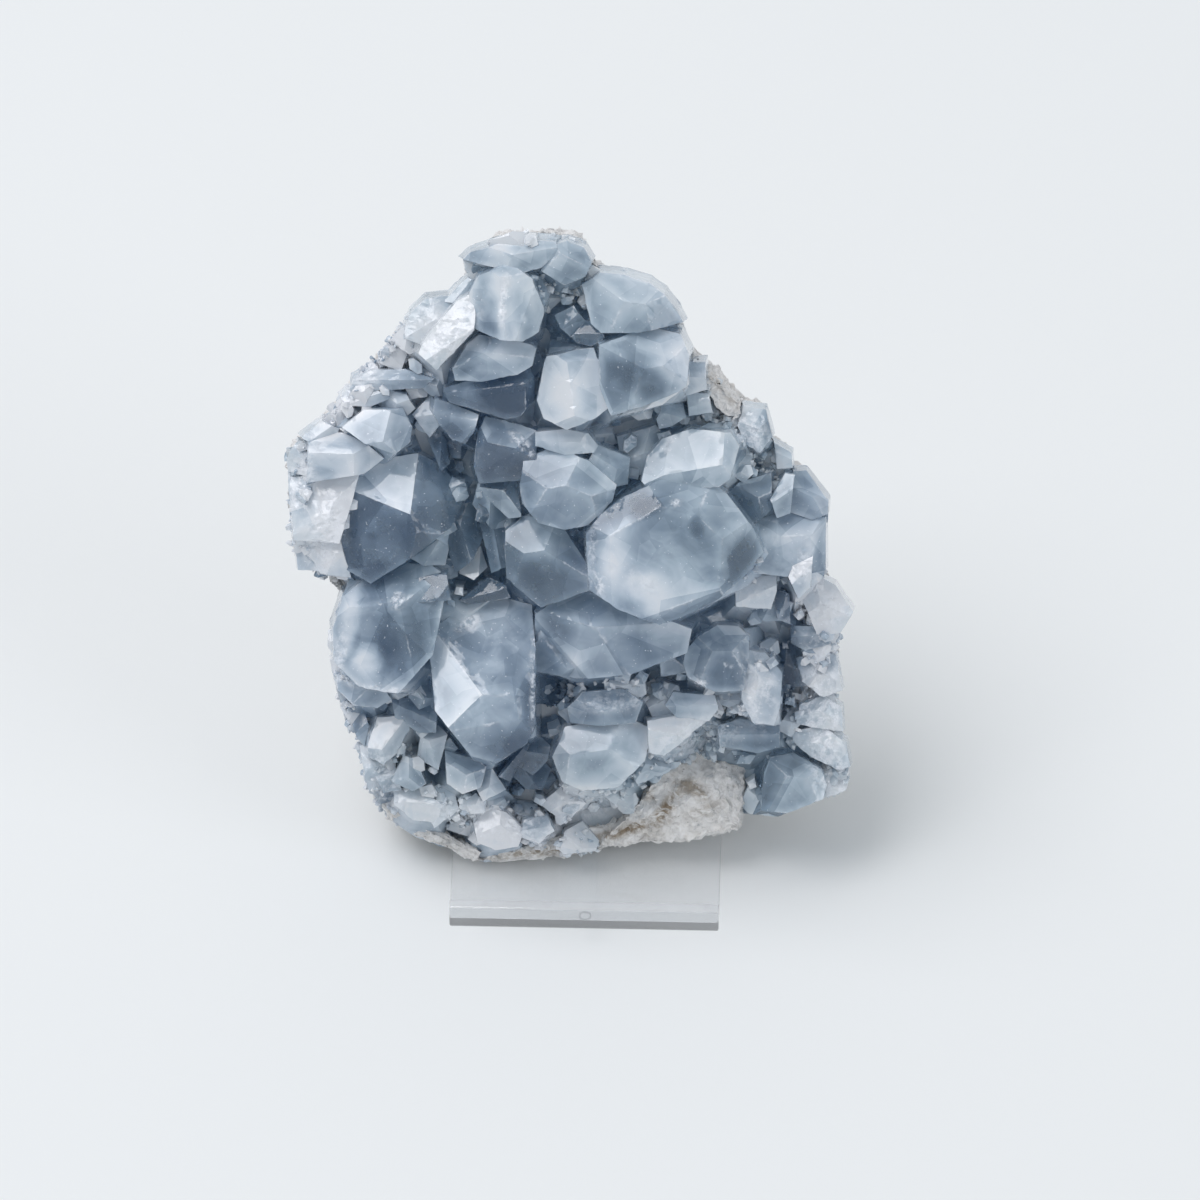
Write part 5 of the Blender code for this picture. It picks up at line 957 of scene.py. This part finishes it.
def fine_crystals(cluster, number):
    """Hundreds of fine prisms with roof-shaped ends that stand on the cluster's crowded places."""
    rng = np.random.default_rng(SEED)
    mesh = cluster.data
    points = points_of(mesh)
    corner = np.empty(len(mesh.loops), np.int32)
    mesh.loops.foreach_get("vertex_index", corner)
    triangles = points[corner.reshape(-1, 3)]
    cross = np.cross(triangles[:, 1] - triangles[:, 0], triangles[:, 2] - triangles[:, 0])
    area = np.linalg.norm(cross, axis=1) / 2
    facing = cross / (2 * area[:, None] + 1e-12)
    seen = seen_at(triangles.mean(1))
    outward = facing @ np.array(SLAB_OUT)
    share = in_places(seen[:, 0], seen[:, 1], FINE) * area * (outward > -0.3) * (number >= len(CRYSTALS))
    chosen = rng.choice(len(area), FINE_COUNT, p=share / share.sum())
    mix = rng.dirichlet((1, 1, 1), FINE_COUNT)
    foot = (triangles[chosen] * mix[:, :, None]).sum(1)
    half = 0.35 + 0.6 * rng.random(FINE_COUNT) ** 2
    place = seen_at(foot)
    pale = 0.7 + 0.4 * rng.random(FINE_COUNT)
    axis = facing[chosen] * 0.7 + np.array(SLAB_OUT) * 0.5 + rng.normal(0, 0.38, (FINE_COUNT, 3))
    return prisms("fine_crystals", foot, axis, half * MM, pale, in_hollow_all(place), rng)


def in_hollow_all(place):
    """For each place, whether it lies in an open dark hollow."""
    return np.array([in_hollow(u, v) for u, v, _ in place])


def prisms(name, foot, axis, half, pale, hollow, rng):
    """Many blades in one mesh: a four-sided ring at foot and shoulder and a ridge across the top."""
    count = len(foot)
    axis = axis / np.linalg.norm(axis, axis=1)[:, None]
    side = np.cross(axis, rng.normal(0, 1, (count, 3)))
    side /= np.linalg.norm(side, axis=1)[:, None]
    third = np.cross(axis, side)
    turn = np.radians(45 + 90 * np.arange(4))[None] + rng.normal(0, 0.16, (count, 4))
    wide = half[:, None] * rng.uniform(0.45, 1.0, (count, 1))
    across, along = half[:, None] * np.cos(turn), wide * np.sin(turn)
    tall = half * rng.uniform(0.3, 1.3, count)
    ridge = half * rng.uniform(0.05, 0.55, count)
    low = np.stack([across, along, np.broadcast_to(-1.4 * half[:, None], across.shape)], 2)
    shoulder = tall[:, None] * rng.uniform(0.7, 1.0, (count, 4))
    high = np.stack([across * 0.95, along * 0.95, shoulder], 2)
    top = (tall + half * rng.uniform(0.25, 0.8, count))[:, None]
    ends = np.stack([np.stack([-ridge, ridge], 1), np.zeros((count, 2)), np.repeat(top, 2, 1)], 2)
    local = np.concatenate([low, high, ends], 1)
    frame_of = np.stack([side, third, axis], 1)
    points = (local @ frame_of + foot[:, None]).reshape(-1, 3)
    walls = [(i, (i + 1) % 4, 4 + (i + 1) % 4, 4 + i) for i in range(4)]
    shape = [*walls, (4, 5, 9), (5, 6, 8, 9), (6, 7, 8), (7, 4, 9, 8), (3, 2, 1, 0)]
    faces = [tuple(10 * i + k for k in face) for i in range(count) for face in shape]
    mesh = bpy.data.meshes.new(name)
    mesh.from_pydata(points.tolist(), [], faces)
    bm = bmesh.new()
    bm.from_mesh(mesh)
    bmesh.ops.triangulate(bm, faces=bm.faces)
    bmesh.ops.recalc_face_normals(bm, faces=bm.faces)
    bm.to_mesh(mesh)
    bm.free()
    made = bpy.data.objects.new(name, mesh)
    bpy.context.scene.collection.objects.link(made)
    # the tips count as lying on an edge, so the painted edge light falls on them
    set_values(mesh, "rim", np.tile([3.0] * 4 + [0.6] * 6, count))
    # fine crystals in a hollow are painted darker: painted shade
    set_values(mesh, "pale", np.repeat(np.where(hollow, 0.35, pale), 10))
    set_values(mesh, "own", np.repeat(rng.random(count), 10))
    set_values(mesh, "frost", np.repeat(rng.random(count) ** 4 * 0.8, 10))
    mesh.shade_flat()
    return made


def edge_distance(turn):
    """How far the specimen's outline is from the layout's zero, in the rim plane."""
    far = 0.0
    du, dv = math.cos(turn), math.sin(turn)
    for (u0, v0), (u1, v1) in zip(OUTLINE, OUTLINE[1:] + OUTLINE[:1]):
        v0, v1 = v0 / SLAB_UP.dot(UP), v1 / SLAB_UP.dot(UP)
        cross = du * (v1 - v0) - dv * (u1 - u0)
        if abs(cross) < 1e-9:
            continue
        t = (dv * u0 - du * v0) / cross
        reach = (u0 * (v1 - v0) - v0 * (u1 - u0)) / cross
        if 0 <= t <= 1 and reach > far:
            far = reach
    return far


def matrix_bowl():
    """The rounded back of the matrix, flat where it carries the crust and where it leans."""
    dice = random.Random(SEED)
    bm = bmesh.new()
    bmesh.ops.create_icosphere(bm, subdivisions=BOWL_DETAIL, radius=1.0)
    waves = []
    for _ in range(9):
        way = Vector([dice.uniform(-1, 1) for _ in range(3)]).normalized()
        waves.append((way * dice.uniform(3, 9), dice.uniform(0, 6)))
    turns = np.linspace(-math.pi, math.pi, 721)
    reaches = np.array([edge_distance(t) for t in turns])
    thick = MATRIX_TOP - MATRIX_BACK
    for vert in bm.verts:
        push = sum(math.sin(wave.dot(vert.co) + phase) / wave.length for wave, phase in waves)
        x, y, z = vert.co * (1.0 + 0.10 * push)
        depth = min(0.0, z)
        shrink = 0.985 if z > 0 else 1.0 - 0.30 * depth**2
        turn = math.atan2(y, x)
        reach = float(np.interp(turn, turns, reaches)) * min(1.0, math.hypot(x, y)) ** 0.72 * shrink
        b = reach * math.sin(turn) + SLAB_OUT.dot(UP) * -MATRIX_TOP / SLAB_UP.dot(UP) * 0.75
        vert.co = slab(reach * math.cos(turn), b, max(MATRIX_TOP + thick * 1.08 * depth, MATRIX_BACK))
    cut_off(bm, *FLOOR)
    bmesh.ops.triangulate(bm, faces=bm.faces)
    return bm


def build_matrix():
    """The matrix: its rounded back joined with the bare lumps in front, all of it roughened."""
    fillers = bpy.data.collections.new("lumps")
    bpy.context.scene.collection.children.link(fillers)
    body = object_of("bowl", matrix_bowl(), bpy.context.scene.collection)
    for name, shape in BARE_MATRIX.items():
        planes, middle = crystal_planes(*shape, root=MATRIX_TOP - 5.0)
        object_of(name, cut_block(planes, middle), fillers)
    bm = one_skin(body, fillers)
    refine(bm, ROCK_MESH * MM, 1.7)
    made = object_of("rock_matrix", bm, bpy.context.scene.collection)
    mesh = made.data
    points = points_of(mesh)
    normals = corner_normals(mesh)
    coarse, fine, pits = rough_noise(points, 6.0, 1), rough_noise(points, 1.6, 3), rough_noise(points, 0.8, 4)
    out = 0.7 * coarse + 0.95 * np.abs(fine) + 0.25 * pits - 0.7
    resting = np.clip((points[:, 2] / MM - LEDGE_TOP) / 1.0, 0.0, 1.0)
    seen = seen_at(points)
    leaning = np.array(SLAB_OUT) @ normals.T < -0.97
    out = np.where(leaning, np.minimum(out, 0.0) * 0.5, out) * resting
    points += normals * (out * MM)[:, None]
    points[:, 2] = np.maximum(points[:, 2], LEDGE_TOP * MM)
    mesh.vertices.foreach_set("co", points.ravel())
    set_values(mesh, "stain", in_places(seen[:, 0], seen[:, 1], STAINS))
    mesh.shade_smooth()
    mesh.set_sharp_from_angle(angle=math.radians(ROCK_CREASE))
    return made


def bend(line, corner, before, after, steps=8):
    """Rounds a corner of a line with points of the curve that touches both sides: a parabola."""
    for t in np.linspace(0, 1, steps):
        start, end = corner + before, corner + after
        line.append(start * (1 - t) ** 2 + corner * 2 * t * (1 - t) + end * t * t)


def bent_easel():
    """The clear easel: a profile of lip, ledge, back rest and leg, given the sheet's thickness on both
    sides of its middle line and carried along the easel's width; every bend is rounded."""
    half = EASEL_THICKNESS / 2
    ledge = np.array((EASEL_LEDGE + half, half))
    back = np.array((math.sin(LEAN), math.cos(LEAN)))
    top = ledge + back * EASEL_BACK_LENGTH
    foot = np.array((EASEL_LEG_FOOT, half))
    leg = (foot - top) / np.linalg.norm(foot - top)
    line = [np.array((half, EASEL_LIP))]
    bend(line, np.array((half, half)), np.array((0, LIP_BEND)), np.array((LIP_BEND, 0)))
    bend(line, ledge, np.array((-LEDGE_BEND, 0)), back * LEDGE_BEND)
    bend(line, top, -back * EASEL_BEND, leg * EASEL_BEND)
    line.append(foot)
    line = np.array(line)
    way = np.gradient(line, axis=0)
    way /= np.linalg.norm(way, axis=1)[:, None]
    across = np.stack([-way[:, 1], way[:, 0]], 1) * half
    upper, lower = line + across, line - across
    for side in (upper, lower):
        side[-1] -= way[-1] * (side[-1, 1] / way[-1, 1])
        side[:, 1] = np.maximum(side[:, 1], 0.0)
    outline = np.concatenate([upper, lower[::-1]])
    count = len(outline)
    turn = math.radians(EASEL_TURN)
    points = []
    for side in (-0.5, 0.5):
        x, y = np.full(count, side * EASEL_WIDTH), outline[:, 0]
        points += np.stack([
            x * math.cos(turn) - y * math.sin(turn) + EASEL_CENTRE,
            x * math.sin(turn) + y * math.cos(turn) + EASEL_BEHIND, outline[:, 1]
        ], 1).tolist()  # fmt: skip
    bm = bmesh.new()
    verts = [bm.verts.new(BASE + Vector(p) * MM) for p in points]
    for i in range(count):
        j = (i + 1) % count
        bm.faces.new((verts[i], verts[j], verts[count + j], verts[count + i]))
    half_way = count // 2
    for base in (0, count):
        for i in range(half_way - 1):
            ring = (base + i, base + i + 1, base + count - 2 - i, base + count - 1 - i)
            bm.faces.new([verts[k] for k in ring])
    bmesh.ops.remove_doubles(bm, verts=bm.verts, dist=1e-6)
    bmesh.ops.recalc_face_normals(bm, faces=bm.faces)
    made = object_of("clear_easel", bm, bpy.context.scene.collection)
    round_off = made.modifiers.new("polished_edges", "BEVEL")
    round_off.width = EASEL_ROUNDING * MM
    round_off.segments = 3
    round_off.limit_method = "ANGLE"
    round_off.angle_limit = math.radians(60)
    made.data.shade_smooth()
    made.data.set_sharp_from_angle(angle=math.radians(35))
    made.visible_shadow = made.visible_diffuse = False
    return made


class Finish:
    """A material being made: its Principled shader and the nodes that feed it."""

    def __init__(self, name):
        self.material = bpy.data.materials.new(name)
        self.material.use_nodes = True
        self.tree = self.material.node_tree
        self.shader = self.tree.nodes["Principled BSDF"]
        self.place = self.node("ShaderNodeTexCoord").outputs["Object"]

    def put(self, socket, value):
        """Links a node's output to a socket, or sets the socket to a plain value."""
        if isinstance(value, bpy.types.NodeSocket):
            self.tree.links.new(value, socket)
        else:
            socket.default_value = value

    def node(self, kind, inputs=None, **settings):
        """Adds a node with its settings and inputs."""
        made = self.tree.nodes.new(kind)
        for key, value in settings.items():
            setattr(made, key, value)
        for key, value in (inputs or {}).items():
            self.put(made.inputs[key], value)
        return made

    def set(self, **inputs):
        """Sets or links the Principled shader's inputs."""
        for key, value in inputs.items():
            self.put(self.shader.inputs[key.replace("_", " ")], value)

    def mark(self, name):
        """A value stored on the mesh under a name."""
        return self.node("ShaderNodeAttribute", attribute_name=name).outputs["Fac"]

    def sum(self, operation, a, b=0.0, clamp=False):
        """Two values put together by an arithmetic operation."""
        made = self.node("ShaderNodeMath", operation=operation, use_clamp=clamp)
        self.put(made.inputs[0], a)
        self.put(made.inputs[1], b)
        return made.outputs[0]

    def noise(self, scale, detail=3.0, rough=0.5, bent=0.0, stretch=None, where=None):
        """Noise from 0 to 1, on the object's own coordinates unless another place is given."""
        where = where or self.place
        if stretch:
            where = self.node("ShaderNodeMapping", {"Vector": where, "Scale": stretch}).outputs[0]
        inputs = {
            "Vector": where, "Scale": scale, "Detail": detail, "Roughness": rough, "Distortion": bent
        }  # fmt: skip
        return self.node("ShaderNodeTexNoise", inputs).outputs["Fac"]

    def cells(self, scale, where):
        """Angular cells like inner facets: a value for each cell."""
        made = self.node("ShaderNodeTexVoronoi", {"Vector": where, "Scale": scale})
        return self.node("ShaderNodeSeparateColor", {"Color": made.outputs["Color"]}).outputs[0]

    def fade(self, value, start, end, low=0.0, high=1.0):
        """A value that passes smoothly from low to high as another goes from start to end."""
        inputs = {"Value": value, "From Min": start, "From Max": end, "To Min": low, "To Max": high}
        return self.node("ShaderNodeMapRange", inputs, interpolation_type="SMOOTHSTEP").outputs[0]

    def ramp(self, value, *stops):
        """A colour picked along a row of (position, colour) stops."""
        made = self.node("ShaderNodeValToRGB", {"Fac": value})
        row = made.color_ramp.elements
        while len(row) < len(stops):
            row.new(0.5)
        for element, (position, colour) in zip(row, stops):
            element.position = position
            element.color = (*colour, 1.0)
        return made.outputs["Color"]

    def mix(self, share, a, b):
        """Two colours mixed."""
        made = self.node("ShaderNodeMix", data_type="RGBA")
        self.put(made.inputs[0], share)
        for socket, value in ((made.inputs[6], a), (made.inputs[7], b)):
            self.put(socket, (*value, 1.0) if isinstance(value, tuple) and len(value) == 3 else value)
        return made.outputs[2]

    def bump(self, height, distance, strength=1.0, below=None):
        """A normal disturbed by a height."""
        inputs = {"Height": height, "Distance": distance * MM, "Strength": strength}
        if below is not None:
            inputs["Normal"] = below
        return self.node("ShaderNodeBump", inputs).outputs["Normal"]


def celestite():
    """Glassy blue crystal with milky clouds, painted light along its thin edges, white edge lines that are
    partly frosted and partly painted highlight, painted glints, and bruised white where it is broken.
    """
    f = Finish("celestite_crystal")
    pale, rim_mm, frost, own = f.mark("pale"), f.mark("rim"), f.mark("frost"), f.mark("own")
    apart = f.sum("MULTIPLY", own, OWN_SHIFT)
    own = f.node("ShaderNodeVectorMath", {0: f.place, 1: apart}, operation="ADD").outputs[0]
    cloud = f.noise(48.0, 1.5, 0.5, 0.3, where=own)
    wisp = f.noise(170.0, 3.0, 0.55, 0.6, where=own)
    grain = f.noise(1500.0, 2.0, 0.5)
    inner, facet = f.cells(105.0, own), f.cells(270.0, own)
    # paler near each crystal's edges: painted light that stands in for light through the thin edges
    painted_edge_light = f.fade(f.sum("ADD", rim_mm, f.sum("MULTIPLY", wisp, 1.6)), 2.4, 0.7)
    # thin white lines along the edges: partly frosted edges, partly painted highlight
    line = f.fade(f.sum("ADD", rim_mm, f.sum("MULTIPLY", grain, 0.5)), 0.44, 0.20)
    line = f.sum("MULTIPLY", line, f.fade(f.noise(190.0, 2.0, where=own), 0.46, 0.66))
    milk = f.sum("MULTIPLY", pale, 0.78)
    milk = f.sum("ADD", milk, f.fade(cloud, 0.3, 0.7, -0.16, 0.18))
    milk = f.sum("ADD", milk, f.fade(wisp, 0.3, 0.7, -0.09, 0.10))
    milk = f.sum("ADD", milk, f.sum("MULTIPLY", inner, 0.20))
    milk = f.sum("ADD", milk, f.sum("MULTIPLY", facet, 0.10))
    milk = f.sum("ADD", milk, f.fade(painted_edge_light, 0.0, 1.0, -0.06, 0.07), clamp=True)
    bruise_and_glint = f.sum("MULTIPLY", frost, f.fade(f.noise(620.0, 4.0, 0.7), 0.40, 0.62, 0.05, 0.95))
    bruise_and_glint = f.sum("MAXIMUM", bruise_and_glint, f.sum("MULTIPLY", line, 0.6))
    # tiny white specks: painted glints
    painted_glint = f.fade(f.noise(2600.0, 1.0), 0.73, 0.76, 0.0, 0.7)
    bruise_and_glint = f.sum("MAXIMUM", bruise_and_glint, painted_glint)
    body = f.ramp(
        milk, (0.0, (0.13, 0.21, 0.33)), (0.3, (0.33, 0.45, 0.60)), (0.6, (0.56, 0.67, 0.79)),
        (0.85, (0.76, 0.82, 0.89)), (1.0, (0.88, 0.90, 0.94))
    )  # fmt: skip
    hue = f.noise(34.0, 1.0)
    body = f.mix(f.fade(hue, 0.42, 0.6, 0.0, 0.4), body, f.mix(0.5, body, (0.47, 0.62, 0.66)))
    # whitened where bruised, and by the painted highlight lines and glints
    colour = f.mix(bruise_and_glint, body, (0.84, 0.865, 0.915))
    clear = f.fade(milk, 0.1, 0.9, 0.66, 0.18)
    clear = f.sum("MULTIPLY", clear, f.fade(bruise_and_glint, 0.1, 0.8, 1.0, 0.35))
    rough = f.sum("ADD", f.fade(wisp, 0.4, 0.7, 0.03, 0.11), f.sum("MULTIPLY", bruise_and_glint, 0.28))
    growth = f.noise(300.0, 3.0, 0.6, 0.0, (1.0, 1.0, 0.18))
    normal = f.bump(growth, 0.10, 0.3)
    normal = f.bump(f.noise(900.0, 3.0, 0.7), 0.25, f.sum("MULTIPLY", bruise_and_glint, 0.8), normal)
    f.set(Base_Color=colour, Roughness=rough, Transmission_Weight=clear, IOR=CRYSTAL_IOR, Normal=normal)
    absorb = f.node("ShaderNodeVolumeAbsorption", {"Color": CRYSTAL_TINT, "Density": CRYSTAL_DENSITY})
    f.tree.links.new(absorb.outputs[0], f.tree.nodes["Material Output"].inputs["Volume"])
    return f.material


def matrix_rock():
    """White sugary rock with grey grains, beige patches and brown stained streaks."""
    f = Finish("matrix_rock")
    broad, grains = f.noise(75.0, 4.0, 0.6, 0.6), f.noise(520.0, 5.0, 0.72, 0.8)
    specks = f.noise(1300.0, 3.0, 0.6)
    streak = f.fade(f.noise(330.0, 6.0, 0.7, 1.5, (1.0, 1.0, 2.4)), 0.40, 0.60)
    stain = f.sum("MULTIPLY", f.mark("stain"), f.sum("ADD", f.sum("MULTIPLY", streak, 0.9), 0.1), clamp=True)
    body = f.ramp(
        grains, (0.28, (0.40, 0.42, 0.45)), (0.40, (0.70, 0.69, 0.68)), (0.52, (0.86, 0.85, 0.84)),
        (0.70, (0.93, 0.93, 0.94))
    )  # fmt: skip
    body = f.mix(f.fade(broad, 0.5, 0.68, 0.0, 0.45), body, f.mix(0.55, body, (0.70, 0.62, 0.52)))
    body = f.mix(f.fade(specks, 0.66, 0.74, 0.0, 0.6), body, (0.16, 0.14, 0.13))
    colour = f.mix(stain, body, (0.29, 0.23, 0.165))
    normal = f.bump(f.noise(420.0, 7.0, 0.72), 1.0, 0.7)
    normal = f.bump(grains, 0.4, 0.6, normal)
    f.set(Base_Color=colour, Roughness=f.fade(grains, 0.3, 0.7, 0.9, 0.5), Normal=normal)
    return f.material


def moulded_ring():
    """The little ring that the sheet's maker left on the middle of the lip's front face."""
    turn = math.radians(EASEL_TURN)
    bpy.ops.mesh.primitive_torus_add(
        major_radius=RING_RADIUS * MM, minor_radius=RING_THICKNESS * MM, major_segments=40, minor_segments=10
    )
    made = bpy.context.object
    made.name = "moulded_ring"
    x, z = RING_OFFSET, RING_HEIGHT
    place = Vector((x * math.cos(turn) + EASEL_CENTRE, x * math.sin(turn) + EASEL_BEHIND, z))
    upright = Matrix.Rotation(turn, 4, "Z") @ Matrix.Rotation(math.radians(90), 4, "X")
    made.data.transform(Matrix.Translation(BASE + place * MM) @ upright)
    made.data.shade_smooth()
    return made


def clear_acrylic():
    """Clear polished acrylic with the faintest handling scuffs, tinted grey: partly its own tint, partly
    painted shade.
    """
    f = Finish("clear_acrylic")
    scuffs = f.noise(700.0, 4.0, 0.7, 0.4, (1.0, 0.25, 1.0))
    f.set(Base_Color=ACRYLIC_TINT_AND_SHADE, Transmission_Weight=ACRYLIC_CLEARNESS, IOR=ACRYLIC_IOR,
          Roughness=f.fade(scuffs, 0.5, 0.75, 0.02, 0.10))  # fmt: skip
    return f.material


def pale_floor():
    """A plain pale floor."""
    bpy.ops.mesh.primitive_plane_add(size=6.0, location=(0, 0, -0.0001))
    floor = bpy.context.object
    floor.name = "floor"
    f = Finish("pale_floor")
    f.set(Base_Color=FLOOR_COLOUR, Roughness=0.9)
    f.shader.inputs["Specular IOR Level"].default_value = 0.1
    floor.data.materials.append(f.material)


def softbox(name, way, size, strength, colour):
    """A soft rectangular lamp, seen from the object in a direction, that faces the object."""
    lamp = bpy.data.lights.new(name, "AREA")
    lamp.shape, lamp.energy = "RECTANGLE", strength
    lamp.size, lamp.size_y = size
    lamp.color = colour
    made = bpy.data.objects.new(name, lamp)
    bpy.context.scene.collection.objects.link(made)
    way = Vector(way).normalized()
    made.location = spot(0, 0, 20) + way * LAMPS_AWAY
    made.rotation_euler = way.to_track_quat("Z", "Y").to_euler()


def light_scene():
    """One large softbox high on the left, a weak one on the right, and a pale room."""
    softbox("key_light", KEY_FROM, KEY_SIZE, KEY_POWER, KEY_COLOUR)
    softbox("fill_light", FILL_FROM, FILL_SIZE, FILL_POWER, FILL_COLOUR)
    world = bpy.data.worlds.new("room")
    world.use_nodes = True
    back = world.node_tree.nodes["Background"]
    back.inputs["Color"].default_value = ROOM_COLOUR
    back.inputs["Strength"].default_value = ROOM_LIGHT
    bpy.context.scene.world = world


def place_camera():
    """The camera: far off with a long lens, so that the picture is the layout's own."""
    seen = bpy.data.cameras.new("camera")
    middle = (FRAME_SIDE / 2 - ZERO[0]) * PIXEL, (ZERO[1] - FRAME_SIDE / 2) * PIXEL
    target = spot(*middle, rim(middle[1]) + 4.0)
    seen.sensor_width = SENSOR
    seen.lens = SENSOR * CAMERA_AWAY / (FRAME_SIDE * PIXEL * MM)
    seen.clip_end = 20.0
    made = bpy.data.objects.new("camera", seen)
    bpy.context.scene.collection.objects.link(made)
    made.location = target + NEAR * CAMERA_AWAY
    made.rotation_euler = NEAR.to_track_quat("Z", "Y").to_euler()
    bpy.context.scene.camera = made


def main():
    place_camera()
    light_scene()
    pale_floor()
    grown = grow_crystals()
    cluster, number = build_crystals(grown)
    fine = fine_crystals(cluster, number)
    rock = build_matrix()
    easel, ring = bent_easel(), moulded_ring()
    crystal, acrylic = celestite(), clear_acrylic()
    for piece, finish, slot in (
        (cluster, crystal, "celestite"), (fine, crystal, "celestite"), (rock, matrix_rock(), "matrix_rock"),
        (easel, acrylic, "clear_acrylic"), (ring, acrylic, "clear_acrylic")
    ):  # fmt: skip
        piece.data.materials.clear()
        piece.data.materials.append(finish)
        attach(piece, "root")
    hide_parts("celestite_crystals")
    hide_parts("matrix")
    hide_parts("easel")
    bpy.context.scene.view_settings.view_transform = "Standard"
    limits = bpy.context.scene.cycles
    limits.max_bounces, limits.transmission_bounces = 8, 6
    limits.diffuse_bounces, limits.glossy_bounces = 3, 3


main()
